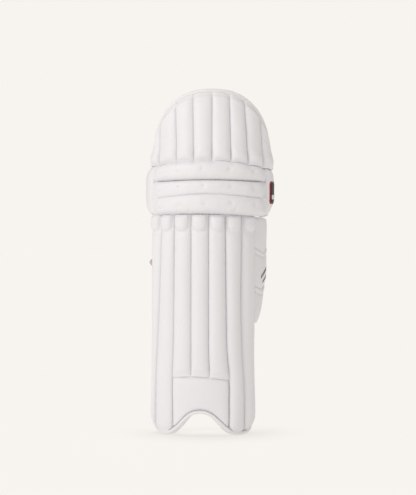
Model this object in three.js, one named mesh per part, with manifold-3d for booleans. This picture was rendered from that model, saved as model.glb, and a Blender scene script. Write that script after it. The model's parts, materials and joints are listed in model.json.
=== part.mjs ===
// Cricket leg pad: shin face of seven vertical rolls, instep panel, three
// horizontal knee rolls with wrap-round side panels, a domed top hat of eight
// rolls, an outer calf wing, rear bolsters and three hook-and-loop straps.
// Millimetres, +Z up, the face looks along -Y. Right-hand (wing) side is +X.
import * as THREE from 'three';
import Module from 'manifold-3d';
import { mergeVertices } from 'three/addons/utils/BufferGeometryUtils.js';

// ---------------------------------------------------------------- dimensions
const SHIFT_X = -20.173;           // puts the middle of the bounding box at x = 0
const SHIFT_Y = -58.058;           // puts the middle of the bounding box at y = 0
const GAP = 0.3;                  // half clearance between sewn neighbours
const SHIN_R = 112, SHIN_XC = 8;  // plan arc of the shin face
const SHIN_L = -62, SHIN_RT = 60.5; // end angles of the shin face, degrees
const KNEE_R = 140, KNEE_XC = 19, KNEE_TH = 50; // plan arc of the knee rolls
const TOP_R = 135, TOP_XC = 24;   // plan arc of the top hat
const BASE = 10;                  // padding depth behind the seam surface
const LINING = 3;                 // lining board thickness
const BOLSTER = 20;               // rear bolster depth
const SHIN_TOP = 440.4;           // upper end of the shin rolls
const KNEE_BOT = 444, KNEE_TOP = 547; // knee roll band
const BIND_H = 7;                 // height of the bottom binding
const WING_LEN = 72;              // wing depth round the calf
const STRAP_W = 38, STRAP_T = 3;  // webbing straps
const STRAP_Z = { knee: 407, calf: 346, ankle: 95 };
const PIPE_R = 4.5;               // top hat piping radius

const D = Math.PI / 180;
const lerp = (a, b, t) => a + (b - a) * t;
const table = (t, x) => {
  if (x <= t[0][0]) return t[0][1];
  for (let i = 1; i < t.length; i++) {
    if (x <= t[i][0]) return lerp(t[i - 1][1], t[i][1], (x - t[i - 1][0]) / (t[i][0] - t[i - 1][0]));
  }
  return t[t.length - 1][1];
};

// ------------------------------------------------------------ plan sections
// Each region is an arc, then a tighter turn, then a straight run, measured by
// the arc length s from the middle of the face (positive towards +X).
const REGION = {
  shin: { R: SHIN_R, xc: SHIN_XC, th: 59.4, r2: 30, th2: 65, yf: () => 0 },
  knee: { R: KNEE_R, xc: KNEE_XC, th: KNEE_TH, r2: 40, th2: 80, yf: () => -10 },
  top: { R: TOP_R, xc: TOP_XC, th: 66, r2: 60, th2: 75, yf: z => -8 + (z - 548) * 0.07 },
};
function sec(reg, s, z) {
  const g = REGION[reg], k = Math.sign(s) || 1, a = Math.abs(s), th = g.th * D, th2 = g.th2 * D;
  let x, y, q;
  if (a <= g.R * th) { q = a / g.R; x = g.R * Math.sin(q); y = g.R * (1 - Math.cos(q)); }
  else {
    x = g.R * Math.sin(th); y = g.R * (1 - Math.cos(th));
    const b = a - g.R * th, l2 = g.r2 * (th2 - th);
    q = th + Math.min(b, l2) / g.r2;
    x += g.r2 * (Math.sin(q) - Math.sin(th)); y += g.r2 * (Math.cos(th) - Math.cos(q));
    if (b > l2) { x += (b - l2) * Math.cos(th2); y += (b - l2) * Math.sin(th2); q = th2; }
  }
  return { x: g.xc + k * x, y: g.yf(z) + y, nx: k * Math.sin(q), ny: -Math.cos(q) };
}
const pt = (reg, s, z, d) => { const p = sec(reg, s, z); return new THREE.Vector3(p.x + d * p.nx, p.y + d * p.ny, z); };
const sOf = (reg, x) => REGION[reg].R * Math.asin((x - REGION[reg].xc) / REGION[reg].R);

// ------------------------------------------------------------ solid builders
function fix(pos, idx) {            // faces out, whatever way the grid ran
  let v = 0;
  const p = i => new THREE.Vector3(pos[3 * i], pos[3 * i + 1], pos[3 * i + 2]);
  for (let i = 0; i < idx.length; i += 3) v += p(idx[i]).dot(p(idx[i + 1]).cross(p(idx[i + 2])));
  if (v < 0) for (let i = 0; i < idx.length; i += 3) [idx[i + 1], idx[i + 2]] = [idx[i + 2], idx[i + 1]];
  const g = new THREE.BufferGeometry();
  g.setAttribute('position', new THREE.Float32BufferAttribute(pos, 3));
  g.setIndex(idx);
  g.computeVertexNormals();
  return g;
}
// closed slab between two surfaces given over the same grid
function slab(nu, nv, F, B) {
  const pos = [], idx = [], n = (nu + 1) * (nv + 1);
  for (const S of [F, B]) for (let j = 0; j <= nv; j++) for (let i = 0; i <= nu; i++) pos.push(...S(i / nu, j / nv, i, j).toArray());
  const id = (k, i, j) => k * n + j * (nu + 1) + i;
  const quad = (a, b, c, d) => idx.push(a, b, c, a, c, d);
  for (let j = 0; j < nv; j++) for (let i = 0; i < nu; i++) {
    quad(id(0, i, j), id(0, i + 1, j), id(0, i + 1, j + 1), id(0, i, j + 1));
    quad(id(1, i, j), id(1, i, j + 1), id(1, i + 1, j + 1), id(1, i + 1, j));
  }
  for (let i = 0; i < nu; i++) {
    quad(id(0, i + 1, 0), id(0, i, 0), id(1, i, 0), id(1, i + 1, 0));
    quad(id(0, i, nv), id(0, i + 1, nv), id(1, i + 1, nv), id(1, i, nv));
  }
  for (let j = 0; j < nv; j++) {
    quad(id(0, 0, j), id(0, 0, j + 1), id(1, 0, j + 1), id(1, 0, j));
    quad(id(0, nu, j + 1), id(0, nu, j), id(1, nu, j), id(1, nu, j + 1));
  }
  return fix(pos, idx);
}
// closed loft through rings of equal length, each ring roughly convex
function loft(rings) {
  const pos = [], idx = [], m = rings[0].length, n = rings.length;
  for (const r of rings) for (const p of r) pos.push(p.x, p.y, p.z);
  for (let k = 0; k < n - 1; k++) for (let i = 0; i < m; i++) {
    const a = k * m + i, b = k * m + (i + 1) % m;
    idx.push(a, b, b + m, a, b + m, a + m);
  }
  for (const [k, flip] of [[0, true], [n - 1, false]]) {
    for (let i = 1; i < m - 1; i++) {
      const t = [k * m, k * m + i, k * m + i + 1];
      idx.push(...(flip ? [t[0], t[2], t[1]] : t));
    }
  }
  return fix(pos, idx);
}
const wasm = await Module();
wasm.setup();
function toSolid(g) {
  const c = g.clone();
  for (const n of Object.keys(c.attributes)) if (n !== 'position') c.deleteAttribute(n);
  const w = mergeVertices(c, 1e-5);
  return new wasm.Manifold(new wasm.Mesh({ numProp: 3, vertProperties: new Float32Array(w.attributes.position.array), triVerts: new Uint32Array(w.index.array) }));
}
function cut(a, b) {
  const m = toSolid(a).subtract(toSolid(b)).getMesh();
  const g = new THREE.BufferGeometry();
  g.setAttribute('position', new THREE.BufferAttribute(new Float32Array(m.vertProperties), 3));
  g.setIndex(Array.from(m.triVerts));
  g.computeVertexNormals();
  return g;
}

// ---------------------------------------------------------------- the group
const pad = new THREE.Group();
pad.name = 'cricket_leg_pad';
pad.position.set(SHIFT_X, SHIFT_Y, 0);
const LOOK = {
  face: [0xf1eeeb, 0.5], seam: [0xe9e6e3, 0.55], core: [0xd8b98a, 0.8], foam: [0xe6e0d0, 0.95],
  lining: [0xe4e2de, 0.9], web: [0xe2d6cd, 0.85], hook: [0xf0efec, 0.95], loop: [0xeceae6, 0.95], badge: [0x2a2527, 0.5],
};
function add(name, geom, look) {
  const [c, r] = LOOK[look];
  const m = new THREE.Mesh(geom, new THREE.MeshStandardMaterial({ color: c, roughness: r, metalness: 0 }));
  m.name = name;
  pad.add(m);
}

// ------------------------------------------------------------- shin outlines
const ZB = [[-98, 30], [-93, 20], [-86, 7], [-80, 0], [-56, 0], [-46, 11], [-30, 28], [-17, 43], [-12, 46], [10, 46],
  [20, 43], [33, 29.5], [47, 18], [53, 10], [61, 0], [92, 0], [99, 8], [105, 19], [110, 30]];
const zBot = s => table(ZB, sec('shin', s, 100).x);         // lower edge of the pad
const INSTEP_TOP = [[-54, 116.5], [-30, 119.5], [-8, 120.5], [20, 118], [58, 111]];
const SEAMS = [
  [[0, -84.5], [112, -84.5], [150, -84.3], [181, -84], [421, -77], [460, -76]],
  [[0, -52.2], [112, -53], [150, -51.4], [181, -50.2], [421, -48.2]],
  [[0, -17], [421, -16.6]],
  [[0, 19.2], [112, 19.2], [150, 17.4], [181, 16.8], [421, 16.8]],
  [[0, 56], [112, 57], [150, 53], [181, 50.8], [421, 48.2]],
  [[0, 86], [112, 88], [150, 85], [181, 83.2], [421, 79.8]],
];
const seamS = (k, z) => {
  if (k === 0) return SHIN_R * SHIN_L * D;
  if (k === 7) return SHIN_R * (z > 222 ? 59.4 : SHIN_RT) * D;
  return sOf('shin', table(SEAMS[k - 1], z));
};
const PUFF = [[0, -1.5], [0.12, 5.5], [0.3, 10.5], [0.5, 12.5], [0.7, 10.5], [0.88, 5.5], [1, -1.5]];
const UP = [0, 0.12, 0.3, 0.5, 0.7, 0.88, 1];
// height profile along a shin roll: rounded foot, plain run, bulb under the knee roll
const rollH = (z, z0) => table([[0, 0.45], [6, 0.75], [16, 1]], z - z0) *
  table([[400, 1], [411, 0.93], [420, 1.28], [430, 1.32], [436, 1.05], [SHIN_TOP, 0.55]], z);
const ZS = [112, 150, 181, 240, 300, 360, 402, 411, 420, 429, 436, SHIN_TOP];

for (let k = 0; k < 7; k++) {
  const short = k >= 2 && k <= 4;
  const zs = short ? [0, 8, ...ZS.slice(1).map(z => z)] : [0, 0.12, 0.4, ...ZS];
  const grid = (u, j) => {
    // the station height, then the place across the roll at that height
    const guess = z => lerp(seamS(k, z) + GAP, seamS(k + 1, z) - GAP, u);
    let z;
    if (short) {
      z = ZS[Math.max(j - 1, 1)];
      if (j < 2) { const s = guess(125); z = table(INSTEP_TOP, sec('shin', s, 120).x) + 0.5 + zs[j]; }
    } else if (j < 3) {
      let s = guess(20);
      z = zBot(s) + BIND_H + 1.1;
      z = lerp(z, 112, [0, 0.12, 0.45][j]);
      s = guess(z);
      z = lerp(zBot(s) + BIND_H + 1.1, 112, [0, 0.12, 0.45][j]);
    } else z = ZS[j - 3];
    return [guess(z), z];
  };
  const nv = zs.length - 1, nu = UP.length - 1;
  const body = slab(nu, nv,
    (u, v, i, j) => { const [s, z] = grid(UP[i], j), [, z0] = grid(UP[i], 0); return pt('shin', s, z, PUFF[i][1] * rollH(z, z0)); },
    (u, v, i, j) => { const [s, z] = grid(UP[i], j); return pt('shin', s, z, -BASE); });
  // stiffening core in a pocket that is open at the top of the roll
  const zLow = short ? 132 : 62, w = [0.2, 0.26, 0.26, 0.26, 0.26, 0.26, 0.22][k];
  const rod = (extra, z0, z1) => {
    const rings = [];
    for (const z of [z0, 181, 300, 411, z1]) {
      const a = seamS(k, z), b = seamS(k + 1, z), c = (a + b) / 2, ring = [];
      for (let q = 0; q < 8; q++) ring.push(pt('shin', c + ((b - a) * w + extra) * Math.cos(q * 45 * D), z, -4 + (3.6 + extra) * Math.sin(q * 45 * D)));
      rings.push(ring);
    }
    return loft(rings);
  };
  add(`shin_roll_${k + 1}`, cut(body, rod(0.4, zLow - 0.5, 452)), 'face');
  add(`shin_roll_core_${k + 1}`, rod(0, zLow, SHIN_TOP - 3), 'core');
}

// instep panel between the two foot rolls
{
  // stations across follow the corners of the arch below
  const sa = seamS(2, 30) + GAP, sb = seamS(5, 30) - GAP;
  const q = [0, ...[-46, -38, -30, -17, -12, -1, 10, 20, 33, 47, 53].map(x => (sOf('shin', x) - sa) / (sb - sa)), 1];
  const dd = q.map(u => table([[0, -1.5], [0.05, 3.5], [0.16, 6], [0.33, 7], [0.5, 7.5], [0.67, 7], [0.84, 6], [0.95, 3.5], [1, -1.5]], u)), vv = [0, 0.12, 0.5, 0.88, 1], hh = [0.55, 0.95, 1, 0.95, 0.55];
  const grid = (u, j) => {
    const f = z => lerp(seamS(2, z) + GAP, seamS(5, z) - GAP, u);
    let z = 60, s;
    for (let n = 0; n < 4; n++) { s = f(z); z = lerp(zBot(s) + BIND_H + 1.6, table(INSTEP_TOP, sec('shin', s, 100).x), vv[j]); }
    return [f(z), z];
  };
  add('instep_panel', slab(q.length - 1, 4, (u, v, i, j) => { const [s, z] = grid(q[i], j); return pt('shin', s, z, dd[i] * hh[j]); },
    (u, v, i, j) => { const [s, z] = grid(q[i], j); return pt('shin', s, z, -BASE); }), 'face');
}
// stations across the pad that follow the corners of the lower edge
const ss = (() => {
  const xs = [];
  for (const [x] of ZB) if (x > -94 && x < 106) xs.push(x);
  for (const x of [-68, -38, -1, 40, 76]) xs.push(x);
  return [SHIN_R * SHIN_L * D, ...xs.map(x => sOf('shin', x)).filter(s => s > SHIN_R * SHIN_L * D + 2 && s < SHIN_R * SHIN_RT * D - 2), SHIN_R * SHIN_RT * D].sort((a, b) => a - b);
})();
// binding round the arch and both feet; the feet end in flat faces at z = 0
{
  const n = ss.length - 1;
  add('bottom_binding', slab(n, 1, (u, v, i, j) => pt('shin', ss[i], zBot(ss[i]) + j * BIND_H, 7),
    (u, v, i, j) => pt('shin', ss[i], zBot(ss[i]) + j * BIND_H, -BASE - LINING - 0.4)), 'seam');
}
// lining board behind the rolls
{
  const st = ss.slice(0, -1).filter((s, i) => i % 2 === 0 || zBot(s) > 2).concat(SHIN_R * 59.4 * D), n = st.length - 1;
  const g = (i, j) => [st[i], [zBot(st[i]) + BIND_H + 1.6, 112, 270, SHIN_TOP - 0.5][j]];
  add('shin_lining', slab(n, 3, (u, v, i, j) => { const [s, z] = g(i, j); return pt('shin', s, z, -BASE - 0.9); },
    (u, v, i, j) => { const [s, z] = g(i, j); return pt('shin', s, z, -BASE - LINING); }), 'lining');
}
// three rear bolsters
function bolster(name, a0, a1, z0, z1, flatY) {
  const n = 4, dep = [0.55, 0.92, 1, 0.92, 0.55], hv = [0.6, 1, 1, 1, 0.6];
  const g = (i, j) => {
    const s = SHIN_R * lerp(a0, a1, i / n) * D, lo = z0 === null ? zBot(s) : z0;
    return [s, [lo, lo + 14, (lo + z1) / 2, z1 - 14, z1][j]];
  };
  add(name, slab(n, 4, (u, v, i, j) => { const [s, z] = g(i, j); return pt('shin', s, z, -BASE - LINING - 1.3); },
    (u, v, i, j) => {
      const [s, z] = g(i, j);
      const h = z0 === null && j === 0 ? 1 : hv[j];
      if (flatY && i > 0 && i < 4 && j > 0 && j < 4) { const p = pt('shin', s, z, -BASE - LINING - BOLSTER); p.y = flatY; return p; }
      return pt('shin', s, z, -BASE - LINING - 1.3 - BOLSTER * dep[i] * h);
    }), 'foam');
}
bolster('bolster_inner_side', -61, -36, null, 428);
bolster('bolster_centre', -15, 17, 78, 426, 37.5);
bolster('bolster_outer_side', 34, 58.8, null, 428);
// edge bindings down both long sides
function edgeBand(name, ang, z0, z1) {
  const s = SHIN_R * ang * D, k = Math.sign(ang), c = k * Math.cos(ang * D), sn = Math.sin(Math.abs(ang) * D);
  const at = (d, t, z) => { const p = pt('shin', s, z, d); p.x += c * t; p.y += sn * t; return p; };
  add(name, slab(3, 4, (u, v) => at(lerp(-29, 1.5, u), 0.4, lerp(z0, z1, v)), (u, v) => at(lerp(-29, 1.5, u), 3.2, lerp(z0, z1, v))), 'seam');
  return at;
}
const atL = edgeBand('inner_edge_binding', SHIN_L, 34, 432);
const atR = edgeBand('outer_edge_binding', SHIN_RT, 34, 205);

// ------------------------------------------------------------------- wing
const W0 = SHIN_R * 59.4 * D;
const wingEnd = z => table([[214, 10], [221, 17], [231, 27], [241, 36], [251, 41.5], [271, 50], [290, 56], [301, 60], [325, 69], [430, 72]], z) + 1;
const wingTop = s => lerp(438, 434.5, s / WING_LEN);
const CH = [ // seam lines across the wing, as height over depth s
  [[0, 377], [50.6, 364], [73, 380]],
  [[0, 365.5], [50.6, 355.5], [73, 368]],
  [[0, 299], [38.6, 290], [60, 301]],
  [[0, 288.5], [38.6, 278], [58, 289]],
];
function wingPiece(name, lo, hi, h, st, nv) {
  const nu = st.length, hs = nu === 5 ? [0.1, 0.75, 1, 1, 0.7, 0.2] : [0.15, 1, 1, 0.2];
  const vs = nv === 4 ? [0, 0.15, 0.5, 0.85, 1] : [0, 0.5, 1], hv = nv === 4 ? [0.2, 0.8, 1, 0.8, 0.2] : [0.25, 1, 0.25];
  const g = (i, j) => {
    let z = 300, s = 0;
    for (let n = 0; n < 14; n++) { s = (i === nu ? wingEnd(z) : Math.min(st[i], wingEnd(z) - (nu - i) * 3)) + 0.6; z = lerp(lo(s) + GAP, hi(s) - GAP, vs[j]); }
    return [s, z];
  };
  add(name, slab(nu, nv, (u, v, i, j) => { const [s, z] = g(i, j); return pt('shin', W0 + s, z, h * hs[i] * hv[j]); },
    (u, v, i, j) => { const [s, z] = g(i, j); return pt('shin', W0 + s, z, -8); }), 'face');
}
wingPiece('wing_panel_upper', s => table(CH[0], s), wingTop, 9, [0, 9, 28, 50, 64], 4);
wingPiece('wing_band_upper', s => table(CH[1], s), s => table(CH[0], s), 5, [0, 12, 50], 2);
wingPiece('wing_panel_middle', s => table(CH[2], s), s => table(CH[1], s), 9, [0, 12, 38, 50, 56], 4);
wingPiece('wing_band_lower', s => table(CH[3], s), s => table(CH[2], s), 5, [0, 12, 38], 2);
wingPiece('wing_panel_lower', s => table([[0, 222], [17, 222], [27, 231], [36, 241], [41.5, 251], [50, 266], [58, 280]], s), s => table(CH[3], s), 9, [0, 8, 20, 38, 44], 4);
{
  const zz = [232, 262, 292, 330, 380, 428];
  add('wing_lining', slab(3, 5, (u, v, i, j) => pt('shin', W0 + 1 + u * Math.min(wingEnd(zz[j]) - 3, 60), zz[j], -8.4),
    (u, v, i, j) => pt('shin', W0 + 1 + u * Math.min(wingEnd(zz[j]) - 3, 60), zz[j], -11.4)), 'lining');
}

// --------------------------------------------------------------- knee rolls
const K1 = [[-90, 508], [15, 510.5], [126, 508]], K2 = [[-90, 474], [15, 484], [126, 473.5]];
const KB = [[-90, 441], [15, KNEE_BOT], [126, 439.5]];
// line where the top hat meets the knee section, by front x
const KT = [[-125, 536.8], [-90, 537.5], [-71, 540.5], [-40, 545], [15, KNEE_TOP], [60, 546], [96, 539.5], [113, 536.5], [126, 534.5], [135, 530.5], [150, 529.5]];
const kneeEdge = [KB, K2, K1, KT];
const KS = KNEE_R * KNEE_TH * D;
['knee_roll_lower', 'knee_roll_middle', 'knee_roll_upper'].forEach((name, k) => {
  const nu = 14, qv = [0, 0.1, 0.3, 0.5, 0.7, 0.9, 1], hd = [-1, 9, 16, 18, 16, 9, -1].map(h => h * [1, 0.94, 1][k]);
  const g = (u, f) => {
    const s = lerp(-KS + GAP, KS - GAP, u), x = sec('knee', s, 500).x;
    return [s, lerp(table(kneeEdge[k], x) + GAP, table(kneeEdge[k + 1], x) - GAP, f)];
  };
  const endH = u => table([[0, 0.3], [0.05, 0.85], [0.12, 1], [0.88, 1], [0.95, 0.85], [1, 0.3]], u);
  const us = [0, 0.045, 0.12, 0.2, 0.28, 0.36, 0.44, 0.52, 0.6, 0.68, 0.76, 0.84, 0.9, 0.955, 1];
  const body = slab(nu, 6, (u, v, i, j) => { const [s, z] = g(us[i], qv[j]); return pt('knee', s, z, hd[j] * endH(us[i])); },
    (u, v, i, j) => { const [s, z] = g(us[i], qv[j]); return pt('knee', s, z, -BASE); });
  const rod = (e, u0, u1) => {
    const rings = [];
    for (const u of [...(u0 < 0 ? [u0] : []), 0.02, 0.07, 0.12, 0.2, 0.28, 0.36, 0.44, 0.52, 0.6, 0.68, 0.76, 0.84, 0.9, u1]) {
      const [s, z] = g(Math.min(Math.max(u, 0), 1), 0.5), so = u < 0 ? s + u * 2 * KS : s, ring = [];
      for (let q = 0; q < 8; q++) ring.push(pt('knee', so, z + (8 + e) * Math.sin(q * 45 * D), -3 + (4.5 + e) * Math.cos(q * 45 * D)));
      rings.push(ring);
    }
    return loft(rings);
  };
  add(name, cut(body, rod(0.4, -0.03, 0.962)), 'face');
  add(name.replace('knee_roll', 'knee_roll_core'), rod(0, 0.02, 0.96), 'core');
});
// side panels that wrap back from the knee rolls, lower rear corner rounded
const SIDE_H = 11.0;
for (const k of [-1, 1]) {
  const len = 74, qs = [0, 0.1, 0.4, 0.7, 0.9, 1], hs = [0.4, 1, 1, 1, 0.75, 0.15], vs = [0, 0.15, 0.5, 0.85, 1], hv = [0.2, 0.8, 1, 0.8, 0.2];
  const lo = s => table(k < 0 ? [[0, 441.6], [18, 443.5], [38, 449], [56, 458], [68, 469], [74, 481]] : [[0, 439.5], [18, 441.5], [38, 447.5], [56, 457], [68, 468], [74, 480]], s), high = k < 0 ? 8 : SIDE_H;
  const hi = s => table(k < 0 ? [[0, 537.2], [20, 536.5], [40, 534], [60, 527], [70, 519], [74, 509]] : [[0, 534.2], [10, 531.5], [20, 530], [40, 528], [60, 523], [70, 516], [74, 508]], s);
  const g = (i, j) => { const s = qs[i] * len; return [s, lerp(lo(s), hi(s), vs[j])]; };
  add(k < 0 ? 'knee_side_panel_inner' : 'knee_side_panel_outer', slab(5, 4,
    (u, v, i, j) => { const [s, z] = g(i, j); return pt('knee', k * (KS + GAP + s), z, high * hs[i] * hv[j]); },
    (u, v, i, j) => { const [s, z] = g(i, j); return pt('knee', k * (KS + GAP + s), z, -8); }), 'face');
}
{
  const n = 12;
  const g = (u, v) => { const s = lerp(-KS, KS, u), x = sec('knee', s, 500).x; return [s, lerp(table(KB, x) + 1, table(KT, x) - 1, v)]; };
  add('knee_lining', slab(n, 2, (u, v) => pt('knee', ...g(u, v), -BASE - 0.9), (u, v) => pt('knee', ...g(u, v), -BASE - LINING)), 'lining');
}
// cradle pads on the back of the knee roll, one each side of the knee cap
for (const k of [-1, 1]) {
  const dep = [0.5, 0.95, 1, 0.85, 0.45], hv = [0.5, 1, 1, 0.5];
  const g = (i, j) => [k * KNEE_R * lerp(16, 44, i / 4) * D, [456, 470, 520, 534][j]];
  add(k < 0 ? 'knee_cradle_inner' : 'knee_cradle_outer', slab(4, 3, (u, v, i, j) => { const [s, z] = g(i, j); return pt('knee', s, z, -BASE - LINING - 1.2); },
    (u, v, i, j) => { const [s, z] = g(i, j); return pt('knee', s, z, -BASE - LINING - 1.2 - 22 * dep[i] * hv[j]); }), 'foam');
}
// plain woven patch on the outer side panel
{
  const z0 = 465, z1 = 509;
  const g = (u, v) => [KS + 9 + 27 * u, lerp(z0, z1, v)];
  add('side_patch', slab(2, 2, (u, v) => pt('knee', ...g(u, v), SIDE_H + 1.4), (u, v) => pt('knee', ...g(u, v), SIDE_H + 0.2)), 'badge');
}

// ------------------------------------------------------------------ top hat
// outer edge of the dome: half angle against height, at the piping radius
const DOME = [[549, 63.4], [571, 60.5], [591, 58.1], [611, 55.1], [621, 53], [631, 50.3], [641, 47.2], [651, 43.7], [661, 38.7], [671, 33.2], [681, 26], [688, 18], [691.5, 10.5], [693, 0]];
const domeOuter = [[541, 63.8], ...DOME].map(([z, a]) => [-(TOP_R + 4) * a * D, z]).concat([[534, 64.1], ...DOME.slice(0, -1)].reverse().map(([z, a]) => [(TOP_R + 4) * a * D, z]));
const offset = r => domeOuter.map((p, i) => {
  const a = domeOuter[Math.max(i - 1, 0)], b = domeOuter[Math.min(i + 1, domeOuter.length - 1)];
  const l = Math.hypot(b[0] - a[0], b[1] - a[1]);
  return [p[0] + (b[1] - a[1]) / l * r, p[1] - (b[0] - a[0]) / l * r];
});
const rollTop = offset(2 * PIPE_R + 0.6).map(([s, z]) => [s * TOP_R / (TOP_R + 4), z]);
const TS = [-77.2, -47.2, -12.4, 23.8, 61, 92.6, 121.2].map(x => sOf('top', x));
const tEdge = rollTop[0][0];
const topSeam = k => k === 0 ? tEdge + 2.5 : k === 8 ? -tEdge - 2.5 : TS[k - 1];
const topBase = s => table(KT, sec('top', s, 560).x) + 1.4 + table([[0, 0], [100, 0], [118, 1.3], [160, 1.6]], Math.abs(s));
for (let k = 0; k < 8; k++) {
  const g = (i, j) => {
    const s = lerp(topSeam(k) + GAP, topSeam(k + 1) - GAP, UP[i]), z0 = topBase(s), z1 = Math.max(table(rollTop, s), z0 + 6);
    return [s, lerp(z0, z1, [0, 0.04, 0.12, 0.25, 0.6, 0.92, 1][j])];
  };
  const hv = [0.5, 1, 1.22, 1.05, 0.95, 0.8, 0.35];
  add(`top_hat_roll_${k + 1}`, slab(6, 6, (u, v, i, j) => pt('top', ...g(i, j), PUFF[i][1] * hv[j] * 0.95),
    (u, v, i, j) => pt('top', ...g(i, j), -BASE)), 'face');
}
// piped edge over the dome
{
  const path = offset(PIPE_R).map(([s, z]) => pt('top', s * TOP_R / (TOP_R + 4), z, 0));
  const curve = new THREE.CatmullRomCurve3(path, false, 'centripetal');
  const sh = new THREE.Shape();
  for (let q = 0; q < 8; q++) { const a = q * 45 * D; if (q) sh.lineTo(PIPE_R * Math.cos(a), PIPE_R * Math.sin(a)); else sh.moveTo(PIPE_R, 0); }
  sh.closePath();
  const g = new THREE.ExtrudeGeometry(sh, { steps: 44, extrudePath: curve, bevelEnabled: false, curveSegments: 1 });
  for (const n of Object.keys(g.attributes)) if (n !== 'position') g.deleteAttribute(n);
  const w = mergeVertices(g, 1e-4);
  add('top_hat_piping', fix(Array.from(w.attributes.position.array), Array.from(w.index.array)), 'seam');
}
{
  const a = tEdge + 3;
  const g = (u, j) => { const s = lerp(a, -a, u); return [s, lerp(topBase(s) + 0.5, Math.max(table(rollTop, s) - 1, topBase(s) + 5), j / 4)]; };
  add('top_hat_lining', slab(14, 4, (u, v, i, j) => pt('top', ...g(u, j), -BASE - 0.9), (u, v, i, j) => pt('top', ...g(u, j), -BASE - LINING - 3)), 'lining');
}

// ------------------------------------------------------------------- straps
// each strap leaves the outer side, goes round behind the leg and lies on a
// loop patch on the rear of the inner edge
const tipPath = [-29, -15, 1].map(d => { const p = atL(d, 8.6, 300); return [p.x, p.y]; });
const wingIn = s => { const p = pt('shin', W0 + s, 300, -15.2); return [p.x, p.y]; };
const lowR = [-18, -8].map(d => { const p = atR(d, 3.6, 300); return [p.x, p.y]; });
const PATHS = {
  knee: [wingIn(66), [112, 128], [94, 136], [55, 141], [5, 136], [-35, 117], [-57, 94], ...tipPath],
  calf: [wingIn(66), [112, 128], [94, 136], [55, 141], [5, 136], [-35, 117], [-57, 94], ...tipPath],
  ankle: [lowR[1], lowR[0], [84, 84], [68, 104], [35, 118], [0, 119], [-34, 107], [-56, 90], ...tipPath],
};
for (const [name, zc] of Object.entries(STRAP_Z)) {
  const c = new THREE.CatmullRomCurve3(PATHS[name].map(([x, y]) => new THREE.Vector3(x, y, 0)), false, 'centripetal');
  const n = 26;
  const at = (u, off) => {
    const p = c.getPointAt(u), t = c.getTangentAt(u);
    return new THREE.Vector3(p.x - t.y * off, p.y + t.x * off, 0);
  };
  const half = u => STRAP_W / 2 * (u < 1 ? 1 : 0.46);
  const side = at(0.5, 3).y > at(0.5, 0).y ? 1 : -1;   // outward is away from the leg
  add(`${name}_strap`, slab(n, 1, (u, v) => { const p = at(u, side * STRAP_T); p.z = zc + (2 * v - 1) * half(u); return p; },
    (u, v) => { const p = at(u, 0); p.z = zc + (2 * v - 1) * half(u); return p; }), 'web');
  // hook patch under the end of the strap and the loop patch that takes it
  const quadPatch = (t0, t1, d0, d1, hw) => slab(2, 1, (u, v) => atL(lerp(d0, d1, u), t0, zc + (2 * v - 1) * hw), (u, v) => atL(lerp(d0, d1, u), t1, zc + (2 * v - 1) * hw));
  add(`${name}_strap_hook`, quadPatch(6.2, 8.1, -26, -3, 16), 'hook');
  add(`${name}_strap_loop`, quadPatch(3.6, 5.8, -28, 1, 18), 'loop');
}

export default pad;
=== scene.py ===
# Cricket leg pad: padded covers, bindings, linings, bolsters and straps built
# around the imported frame. Lengths are worked out in millimetres and placed in
# metres, in the frame's own axes.
import json
import math
import bpy
import numpy as np
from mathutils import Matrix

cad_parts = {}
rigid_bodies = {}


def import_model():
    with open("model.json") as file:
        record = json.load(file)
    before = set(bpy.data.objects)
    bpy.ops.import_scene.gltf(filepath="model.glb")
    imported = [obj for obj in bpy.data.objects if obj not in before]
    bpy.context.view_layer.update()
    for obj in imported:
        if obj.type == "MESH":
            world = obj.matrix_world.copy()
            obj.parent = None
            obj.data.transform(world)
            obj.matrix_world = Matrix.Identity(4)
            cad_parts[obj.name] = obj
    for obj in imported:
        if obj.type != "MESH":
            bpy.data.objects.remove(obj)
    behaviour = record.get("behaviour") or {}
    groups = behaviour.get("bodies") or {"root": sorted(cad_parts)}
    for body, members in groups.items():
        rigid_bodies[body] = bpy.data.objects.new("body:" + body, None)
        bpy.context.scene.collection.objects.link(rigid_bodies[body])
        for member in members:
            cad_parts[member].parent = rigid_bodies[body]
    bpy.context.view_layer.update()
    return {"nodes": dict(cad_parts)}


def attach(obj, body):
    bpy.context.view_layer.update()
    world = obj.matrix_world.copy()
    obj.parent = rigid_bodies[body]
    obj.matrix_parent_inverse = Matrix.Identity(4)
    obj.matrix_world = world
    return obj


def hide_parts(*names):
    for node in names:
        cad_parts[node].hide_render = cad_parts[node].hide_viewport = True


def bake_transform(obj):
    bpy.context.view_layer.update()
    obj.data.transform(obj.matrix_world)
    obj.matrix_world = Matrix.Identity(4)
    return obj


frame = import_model()
RNG = np.random.RandomState(11)

# ------------------------------------------------------------------ dimensions
SHX, SHY = -20.173, -58.058
SHIN_R, SHIN_XC, SHIN_L, SHIN_RT = 112.0, 8.0, -62.0, 60.5
KNEE_R, KNEE_XC, KNEE_TH = 140.0, 19.0, 50.0
TOP_R, TOP_XC = 135.0, 24.0
BASE, LINING, BOLSTER = 10.0, 3.0, 20.0
SHIN_TOP, KNEE_BOT, KNEE_TOP, BIND_H = 440.4, 444.0, 547.0, 7.0
WING_LEN, STRAP_W, STRAP_T, PIPE_R = 72.0, 38.0, 3.0, 4.5
STRAP_Z = {"knee": 407.0, "calf": 346.0, "ankle": 95.0}
RAD = math.pi / 180
REGION = {
    "shin": (SHIN_R, SHIN_XC, 59.4, 30.0, 65.0),
    "knee": (KNEE_R, KNEE_XC, KNEE_TH, 40.0, 80.0),
    "top": (TOP_R, TOP_XC, 66.0, 60.0, 75.0),
}


def yf(reg, z):
    if reg == "knee":
        return -10.0 + 0 * z
    if reg == "top":
        return -8.0 + (z - 548.0) * 0.07
    return 0 * z


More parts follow.
